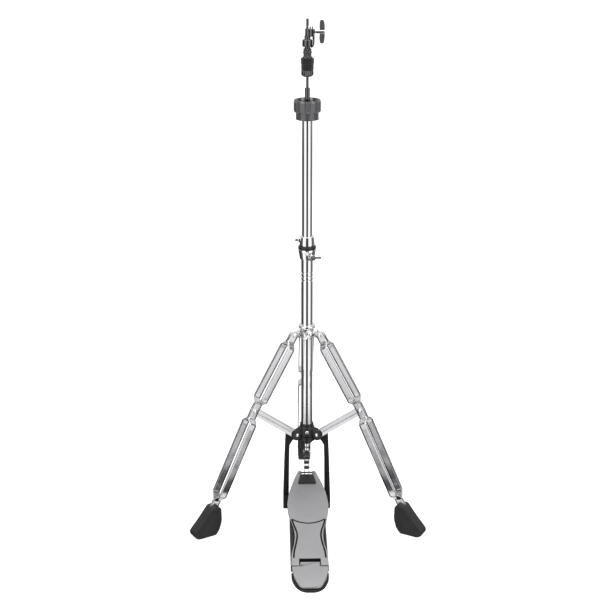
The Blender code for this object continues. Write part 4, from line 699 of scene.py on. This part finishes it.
# ------------------------------------------------------------ clutch
def build_clutch():
    base = low("clutch_bottom_nut")[2]
    sleeve = ROD_R + 0.0031
    bore = sleeve + 0.0003
    flutes = bpy.context.scene.hat_sizes.nut_flutes

    def fluted(radius, height, angle):
        wave = 0.5 - 0.5 * np.cos(angle * flutes)
        return radius - 0.0011 * wave ** 3 * np.clip((radius - 0.0095) / 0.002, 0, 1), height

    nut = eased([(bore, base), (0.0085, base), (0.0122, base + 0.0028), (0.0125, base + 0.0050), (0.0125, base + 0.0118),
                 (0.0115, base + 0.0127), (bore, base + 0.0127)], [0.0004, 0.0020, 0.0020, 0.0010, 0.0008, 0.0005, 0.0004], 6)
    piece("clutch_bottom_nut_visual", turned(nut, 144, fluted), "turned_black_nickel", "clutch_bottom_nut", "chrome", "clutch_bottom_nut")
    for number, name in enumerate(("lower", "upper")):
        start = base + 0.0130 + number * 0.0125
        radius = 0.0135 if number else 0.0128
        disc = eased([(bore, start), (radius, start), (radius, start + 0.0122), (bore, start + 0.0122)], [0.0003, 0.0014, 0.0014, 0.0003], 6)
        piece(f"clutch_felt_{name}_visual", turned(disc, 96), "pressed_black_felt", "clutch", "felt", f"clutch_felt_{name}")
        start = low(f"lock_nut_{name}")[2]
        nut = eased([(bore, start), (0.0098, start), (0.0098, start + 0.0018), (0.0082, start + 0.0026), (0.0082, start + 0.0082),
                     (0.0076, start + 0.0089), (bore, start + 0.0089)], 0.0005, 5)
        piece(f"lock_nut_{name}_visual", turned(nut, 96, lambda r, z, a: (r - 0.0004 * (0.5 - 0.5 * np.cos(a * 24)) * (r > 0.0075) * (r < 0.0086), z)),
              "turned_black_nickel", "clutch", "chrome", f"lock_nut_{name}")
    head = high("lock_nut_upper")[2] + 0.0006
    tube = turned(eased([(ROD_R + 0.0003, base + 0.001), (sleeve, base + 0.001), (sleeve, head + 0.0030), (0.0098, head + 0.0030),
                         (0.0105, head + 0.0040), (0.0105, head + 0.0162), (0.0096, head + 0.0172), (0.0062, head + 0.0172),
                         (0.0062, head + 0.0250), (ROD_R + 0.0003, head + 0.0250)], 0.0006), 72)
    block = placed(turned(eased([(0, head + 0.0232), (0.0083, head + 0.0232), (0.0083, head + 0.0392), (0, head + 0.0392)],
                                [0, 0.0014, 0.0014, 0]), 64), (0.0035, 0, 0))
    piece("clutch_body_visual", joined(tube, block), "turned_black_nickel", "clutch", "dark_steel", "clutch_body")
    knob = placed(turned(eased([(0, head + 0.0385), (0.0060, head + 0.0385), (0.0060, head + 0.0440), (0.0045, head + 0.0457),
                                (0, head + 0.0457)], [0, 0.0004, 0.0012, 0.0010, 0]), 48), (0.0055, 0, 0))
    piece("clutch_knob", knob, "buffed_chrome_plate", "clutch", "chrome")
    inner, outer = 0.0121, 0.0143
    strap = [(outer, head + 0.0382), (outer, head + 0.0080), (0.0118, head + 0.0028), (0.0075, head + 0.0005), (0.0068, head + 0.0024),
             (0.0099, head + 0.0029), (0.0110, head + 0.0045), (0.0112, head + 0.0160), (0.0100, head + 0.0190), (0.0100, head + 0.0222),
             (inner, head + 0.0229), (inner, head + 0.0382)]
    band_round = [0.001, 0.008, 0.003, 0.0006, 0.0006, 0.001, 0.002, 0.002, 0.001, 0.0006, 0.0002, 0.0008]
    piece("clutch_strap_visual", placed(slab(eased(strap, band_round, 8), -0.0045, 0.0045, 0.0005), axes=FACING), "satin_black_powder_coat",
          "clutch", "black_steel", "clutch_strap")
    turn = math.radians(4)
    span = np.array([0, math.sin(turn), -math.cos(turn)])
    turn_axes = along((1, 0, 0), span)
    bolt = placed(bar_wing(0.0240, 0.0238, 0.0112, 0.0036, 0.0031, 0.0053), (0, 0, head + 0.0325), turn_axes)
    boss = turned(eased([(0, 0.0150), (0.0036, 0.0150), (0.0040, 0.0200), (0.0040, 0.0352), (0, 0.0352)], [0, 0.0006, 0.002, 0.0012, 0]), 40)
    piece("clutch_wing_boss", placed(boss, (0, 0, head + 0.0325), turn_axes), "buffed_chrome_plate", "clutch_wing_bolt", "chrome")
    piece("clutch_wing_bolt_visual", bolt, "satin_dark_zinc", "clutch_wing_bolt", "dark_steel", "clutch_wing_bolt")


# ------------------------------------------------------------ studio
def build_stage():
    """A pale floor, a camera a little above the stand, and a surround of soft boxes with dark gaps between them."""
    side = 30.0
    mesh = bpy.data.meshes.new("studio_floor")
    mesh.from_pydata([(-side, -side, 0), (side, -side, 0), (side, side, 0), (-side, side, 0)], [], [(0, 1, 2, 3)])
    floor = bpy.data.objects.new("studio_floor", mesh)
    bpy.context.scene.collection.objects.link(floor)
    floor.visible_glossy = False
    paper = bpy.data.materials.new("white_studio_paper")
    paper.use_nodes = True
    shader = paper.node_tree.nodes["Principled BSDF"]
    shader.inputs["Base Color"].default_value = (*linear("#F4F4F4"), 1)
    shader.inputs["Roughness"].default_value = 0.9
    shader.inputs["Emission Color"].default_value = (1, 1, 1, 1)
    shader.inputs["Emission Strength"].default_value = 0.85
    mesh.materials.append(paper)

    world = bpy.data.worlds.new("studio_surround")
    bpy.context.scene.world = world
    world.use_nodes = True
    tree = world.node_tree
    tree.nodes.clear()
    direction = node(tree, "ShaderNodeTexCoord").outputs["Generated"]
    apart = node(tree, "ShaderNodeSeparateXYZ", {}, {"Vector": direction})
    angle = node(tree, "ShaderNodeMath", {"operation": "ARCTAN2"}, {0: apart.outputs["X"], 1: apart.outputs["Y"]})
    turned_share = node(tree, "ShaderNodeMapRange", {"clamp": False}, {"Value": angle.outputs[0]}, From_Min=-math.pi, From_Max=math.pi)
    low_stops = [(0.0, 0.05), (0.046, 0.05), (0.064, 0.90), (0.095, 1.0), (0.180, 1.0), (0.200, 0.10), (0.300, 0.04), (0.405, 0.06),
                 (0.440, 0.70), (0.560, 0.90), (0.600, 0.35), (0.700, 0.12), (0.795, 0.10), (0.820, 1.0), (0.905, 1.0), (0.936, 0.90),
                 (0.954, 0.05), (1.0, 0.05)]
    high_stops = [(0.0, 0.05), (0.046, 0.05), (0.064, 0.90), (0.180, 1.0), (0.205, 0.12), (0.270, 0.10), (0.300, 0.62), (0.345, 0.80),
                  (0.500, 0.60), (0.655, 0.80), (0.700, 0.62), (0.730, 0.10), (0.795, 0.12), (0.820, 1.0), (0.936, 0.90), (0.954, 0.05),
                  (1.0, 0.05)]
    rings = []
    for stops in (low_stops, high_stops):
        bands = node(tree, "ShaderNodeValToRGB", {}, {"Fac": turned_share.outputs[0]})
        ramp = bands.color_ramp
        ramp.elements[0].position, ramp.elements[1].position = stops[0][0], stops[-1][0]
        ramp.elements[0].color = (*(stops[0][1],) * 3, 1)
        ramp.elements[1].color = (*(stops[-1][1],) * 3, 1)
        for place, value in stops[1:-1]:
            ramp.elements.new(place).color = (value, value, value, 1)
        rings.append(bands)
    above = node(tree, "ShaderNodeMapRange", {"clamp": True}, {"Value": apart.outputs["Z"]}, From_Min=-0.15, From_Max=0.02)
    surround = node(tree, "ShaderNodeMix", {"data_type": "RGBA"},
                    {"Factor": above.outputs[0], 6: rings[0].outputs["Color"], 7: rings[1].outputs["Color"]})
    overhead = node(tree, "ShaderNodeMapRange", {"clamp": True}, {"Value": apart.outputs["Z"]}, From_Min=0.55, From_Max=0.80)
    dome = node(tree, "ShaderNodeMix", {"data_type": "RGBA"}, {"Factor": overhead.outputs[0]})
    uneven = node(tree, "ShaderNodeTexNoise", {}, {"Vector": direction}, Scale=4.5, Detail=2.0)
    cloudy = node(tree, "ShaderNodeMapRange", {"clamp": True}, {"Value": uneven.outputs["Fac"]}, From_Min=0.38, From_Max=0.56,
                  To_Min=0.84, To_Max=1.0)
    table = node(tree, "ShaderNodeMapRange", {"clamp": True, "interpolation_type": "SMOOTHSTEP"}, {"Value": apart.outputs["Z"]},
                 From_Min=-0.425, From_Max=-0.395, To_Min=0.10, To_Max=1.0)
    under = node(tree, "ShaderNodeMapRange", {"clamp": True, "interpolation_type": "SMOOTHSTEP"}, {"Value": apart.outputs["Z"]},
                 From_Min=-0.48, From_Max=-0.455, To_Min=1.0, To_Max=0.0)
    stripe = node(tree, "ShaderNodeMath", {"operation": "MAXIMUM"}, {0: table.outputs[0], 1: under.outputs[0]})
    shade = node(tree, "ShaderNodeMath", {"operation": "MULTIPLY"}, {0: cloudy.outputs[0], 1: stripe.outputs[0]})
    gaps = node(tree, "ShaderNodeMix", {"data_type": "RGBA", "blend_type": "MULTIPLY"}, {6: surround.outputs[2], 7: shade.outputs[0]})
    gaps.inputs[0].default_value = 1.0
    tree.links.new(gaps.outputs[2], dome.inputs[6])
    dome.inputs[7].default_value = (1, 1, 1, 1)
    ray = node(tree, "ShaderNodeLightPath")
    seen = node(tree, "ShaderNodeMix", {"data_type": "RGBA"}, {"Factor": ray.outputs["Is Camera Ray"]})
    tree.links.new(dome.outputs[2], seen.inputs[6])
    seen.inputs[7].default_value = (1, 1, 1, 1)
    power = node(tree, "ShaderNodeMapRange", {}, {"Value": ray.outputs["Is Diffuse Ray"]}, To_Min=1.35, To_Max=0.50)
    light = node(tree, "ShaderNodeBackground", {}, {"Color": seen.outputs[2], "Strength": power.outputs[0]})
    out = node(tree, "ShaderNodeOutputWorld")
    tree.links.new(light.outputs[0], out.inputs["Surface"])

    for name, spot, size, power in (("soft_box_left", (-2.2, -2.0, 2.6), 1.6, 26), ("soft_box_right", (2.4, -1.7, 2.4), 1.6, 22),
                                    ("soft_box_top", (0.2, 0.4, 3.6), 2.4, 30)):
        lamp = bpy.data.lights.new(name, "AREA")
        lamp.size = size
        lamp.energy = power
        made = bpy.data.objects.new(name, lamp)
        bpy.context.scene.collection.objects.link(made)
        made.location = spot
        aim = np.array((0, 0, 0.5)) - np.array(spot)
        made.rotation_euler = (math.atan2(math.hypot(aim[0], aim[1]), -aim[2]), 0, math.atan2(-aim[0], aim[1]) )

    bpy.context.scene.view_settings.view_transform = "Standard"
    camera = bpy.data.cameras.new("camera")
    camera.lens = 80.3
    camera.sensor_width = 36
    camera.dof.use_dof = False
    eye = bpy.data.objects.new("camera", camera)
    bpy.context.scene.collection.objects.link(eye)
    eye.location = (-0.067, -2.710, 1.4324)
    eye.rotation_euler = (math.radians(70.9), math.radians(0.0), math.radians(-1.1))
    bpy.context.scene.camera = eye


# ------------------------------------------------------------ add-on
def tint(code, name, description):
    return FloatVectorProperty(name=name, description=description, subtype="COLOR", size=3, min=0, max=1, default=linear(code))


class HatSizes(bpy.types.PropertyGroup):
    groove_depth: FloatProperty(name="Groove depth", description="Depth of the rolled grooves near the base tube's top",
                                default=0.0008, min=0, max=0.001, subtype="DISTANCE", unit="LENGTH")
    seat_lobes: IntProperty(name="Seat lobes", description="Lobes round the cymbal seat's ring", default=8, min=3, max=16)
    boot_width: FloatProperty(name="Boot width", description="Width of each rubber boot over its rounded body", default=0.0290, min=0.02, max=0.03,
                              subtype="DISTANCE", unit="LENGTH")
    inlay_width: FloatProperty(name="Inlay width", description="Width of the black line in the footboard", default=0.0036, min=0.001, max=0.005,
                               subtype="DISTANCE", unit="LENGTH")
    nut_flutes: IntProperty(name="Nut flutes", description="Finger flutes round the clutch's bottom nut", default=10, min=4, max=24)


class HatColours(bpy.types.PropertyGroup):
    chrome: tint("#F3F3F4", "Chrome", "Colour of the chrome plating")
    strip: tint("#D6D6D9", "Strip chrome", "Colour of the rolled leg strips and struts")
    nickel: tint("#6E6E71", "Black nickel", "Colour of the black nickel plating")
    black: tint("#141415", "Black paint", "Colour of the powder coat, the enamel and the nylon")
    silver: tint("#A6A6A8", "Silver paint", "Colour of the footboard and the heel plate")
    # A near-black copy of the silver paint: painted shade for the footboard's side wall.
    wall: tint("#232325", "Shaded paint", "Colour of the footboard's side wall")
    rubber: tint("#161617", "Rubber", "Colour of the boots, the toe stop and the heel rubber")
    rod: tint("#6A6A6C", "Rod", "Colour of the drawn pull rod")
    plastic: tint("#5C5C5F", "Grey plastic", "Colour of the cymbal seat")
    zinc: tint("#66666A", "Dark zinc", "Colour of the clutch's wing")
    felt: tint("#101010", "Felt", "Colour of the clutch's felts")
    wire: tint("#A8A8AA", "Spring wire", "Colour of the return spring")


class HAT_OT_stage(bpy.types.Operator):
    """Makes the floor, the surround, the lights and the camera"""
    bl_idname = "hat.stage"
    bl_label = "Studio"
    bl_options = {"REGISTER", "UNDO"}

    def execute(self, context):
        build_stage()
        return {"FINISHED"}


class HAT_OT_tubes(bpy.types.Operator):
    """Turns the two column tubes and the pull rod"""
    bl_idname = "hat.tubes"
    bl_label = "Tubes and rod"
    bl_options = {"REGISTER", "UNDO"}

    def execute(self, context):
        build_tubes()
        return {"FINISHED"}


class HAT_OT_clamps(bpy.types.Operator):
    """Makes the height clamp, its bush and bolt, and the memory lock"""
    bl_idname = "hat.clamps"
    bl_label = "Clamps"
    bl_options = {"REGISTER", "UNDO"}

    def execute(self, context):
        build_clamps()
        return {"FINISHED"}


class HAT_OT_seat(bpy.types.Operator):
    """Makes the lobed cymbal seat and its stem"""
    bl_idname = "hat.seat"
    bl_label = "Cymbal seat"
    bl_options = {"REGISTER", "UNDO"}

    def execute(self, context):
        build_seat()
        return {"FINISHED"}


class HAT_OT_legs(bpy.types.Operator):
    """Makes the leg strips, struts, rivets and boots"""
    bl_idname = "hat.legs"
    bl_label = "Legs"
    bl_options = {"REGISTER", "UNDO"}

    def execute(self, context):
        build_legs()
        return {"FINISHED"}


class HAT_OT_collar(bpy.types.Operator):
    """Makes the sliding collar, its lugs and its wing bolt"""
    bl_idname = "hat.collar"
    bl_label = "Tripod collar"
    bl_options = {"REGISTER", "UNDO"}

    def execute(self, context):
        build_collar()
        return {"FINISHED"}


class HAT_OT_hub(bpy.types.Operator):
    """Makes the black hub with its ears, guard and screw"""
    bl_idname = "hat.hub"
    bl_label = "Lower hub"
    bl_options = {"REGISTER", "UNDO"}

    def execute(self, context):
        build_hub()
        return {"FINISHED"}


class HAT_OT_pedal_frame(bpy.types.Operator):
    """Makes the pedal's frame and base plate"""
    bl_idname = "hat.pedal_frame"
    bl_label = "Pedal frame"
    bl_options = {"REGISTER", "UNDO"}

    def execute(self, context):
        build_frame()
        return {"FINISHED"}


class HAT_OT_footboard(bpy.types.Operator):
    """Makes the footboard, its skirt, its inlay and its toe stop"""
    bl_idname = "hat.footboard"
    bl_label = "Footboard"
    bl_options = {"REGISTER", "UNDO"}

    def execute(self, context):
        build_footboard()
        return {"FINISHED"}


class HAT_OT_heel(bpy.types.Operator):
    """Makes the heel plate and its rubber"""
    bl_idname = "hat.heel"
    bl_label = "Heel"
    bl_options = {"REGISTER", "UNDO"}

    def execute(self, context):
        build_heel()
        return {"FINISHED"}


class HAT_OT_clevis(bpy.types.Operator):
    """Makes the clevis and finishes the hidden drive parts"""
    bl_idname = "hat.clevis"
    bl_label = "Clevis"
    bl_options = {"REGISTER", "UNDO"}

    def execute(self, context):
        build_clevis()
        return {"FINISHED"}


class HAT_OT_chain(bpy.types.Operator):
    """Makes the four chain links"""
    bl_idname = "hat.chain"
    bl_label = "Chain"
    bl_options = {"REGISTER", "UNDO"}

    def execute(self, context):
        build_chain()
        return {"FINISHED"}


class HAT_OT_clutch(bpy.types.Operator):
    """Makes the clutch with its nuts, felts, strap, knob and wing bolt"""
    bl_idname = "hat.clutch"
    bl_label = "Clutch"
    bl_options = {"REGISTER", "UNDO"}

    def execute(self, context):
        build_clutch()
        return {"FINISHED"}


STEPS = (HAT_OT_stage,
         HAT_OT_tubes,
         HAT_OT_clamps,
         HAT_OT_seat,
         HAT_OT_legs,
         HAT_OT_collar,
         HAT_OT_hub,
         HAT_OT_pedal_frame,
         HAT_OT_footboard,
         HAT_OT_heel,
         HAT_OT_clevis,
         HAT_OT_chain,
         HAT_OT_clutch)


class HAT_PT_parts(bpy.types.Panel):
    """Lists the stand's pieces, sizes and colours"""
    bl_idname = "HAT_PT_parts"
    bl_label = "Hi-hat stand"
    bl_space_type = "VIEW_3D"
    bl_region_type = "UI"
    bl_category = "Hi-hat"

    def draw(self, context):
        for step in STEPS:
            self.layout.operator(step.bl_idname)
        for group in (context.scene.hat_sizes, context.scene.hat_colours):
            box = self.layout.box()
            for name in group.__annotations__:
                box.prop(group, name)


CLASSES = (HatSizes, HatColours, *STEPS, HAT_PT_parts)


def register():
    for kind in CLASSES:
        bpy.utils.register_class(kind)
    bpy.types.Scene.hat_sizes = PointerProperty(type=HatSizes)
    bpy.types.Scene.hat_colours = PointerProperty(type=HatColours)


def unregister():
    del bpy.types.Scene.hat_sizes
    del bpy.types.Scene.hat_colours
    for kind in reversed(CLASSES):
        bpy.utils.unregister_class(kind)


def main():
    """Registers the add-on and builds the stand piece by piece."""
    register()
    for step in STEPS:
        group, name = step.bl_idname.split(".")
        getattr(getattr(bpy.ops, group), name)()


if __name__ == "__main__":
    main()
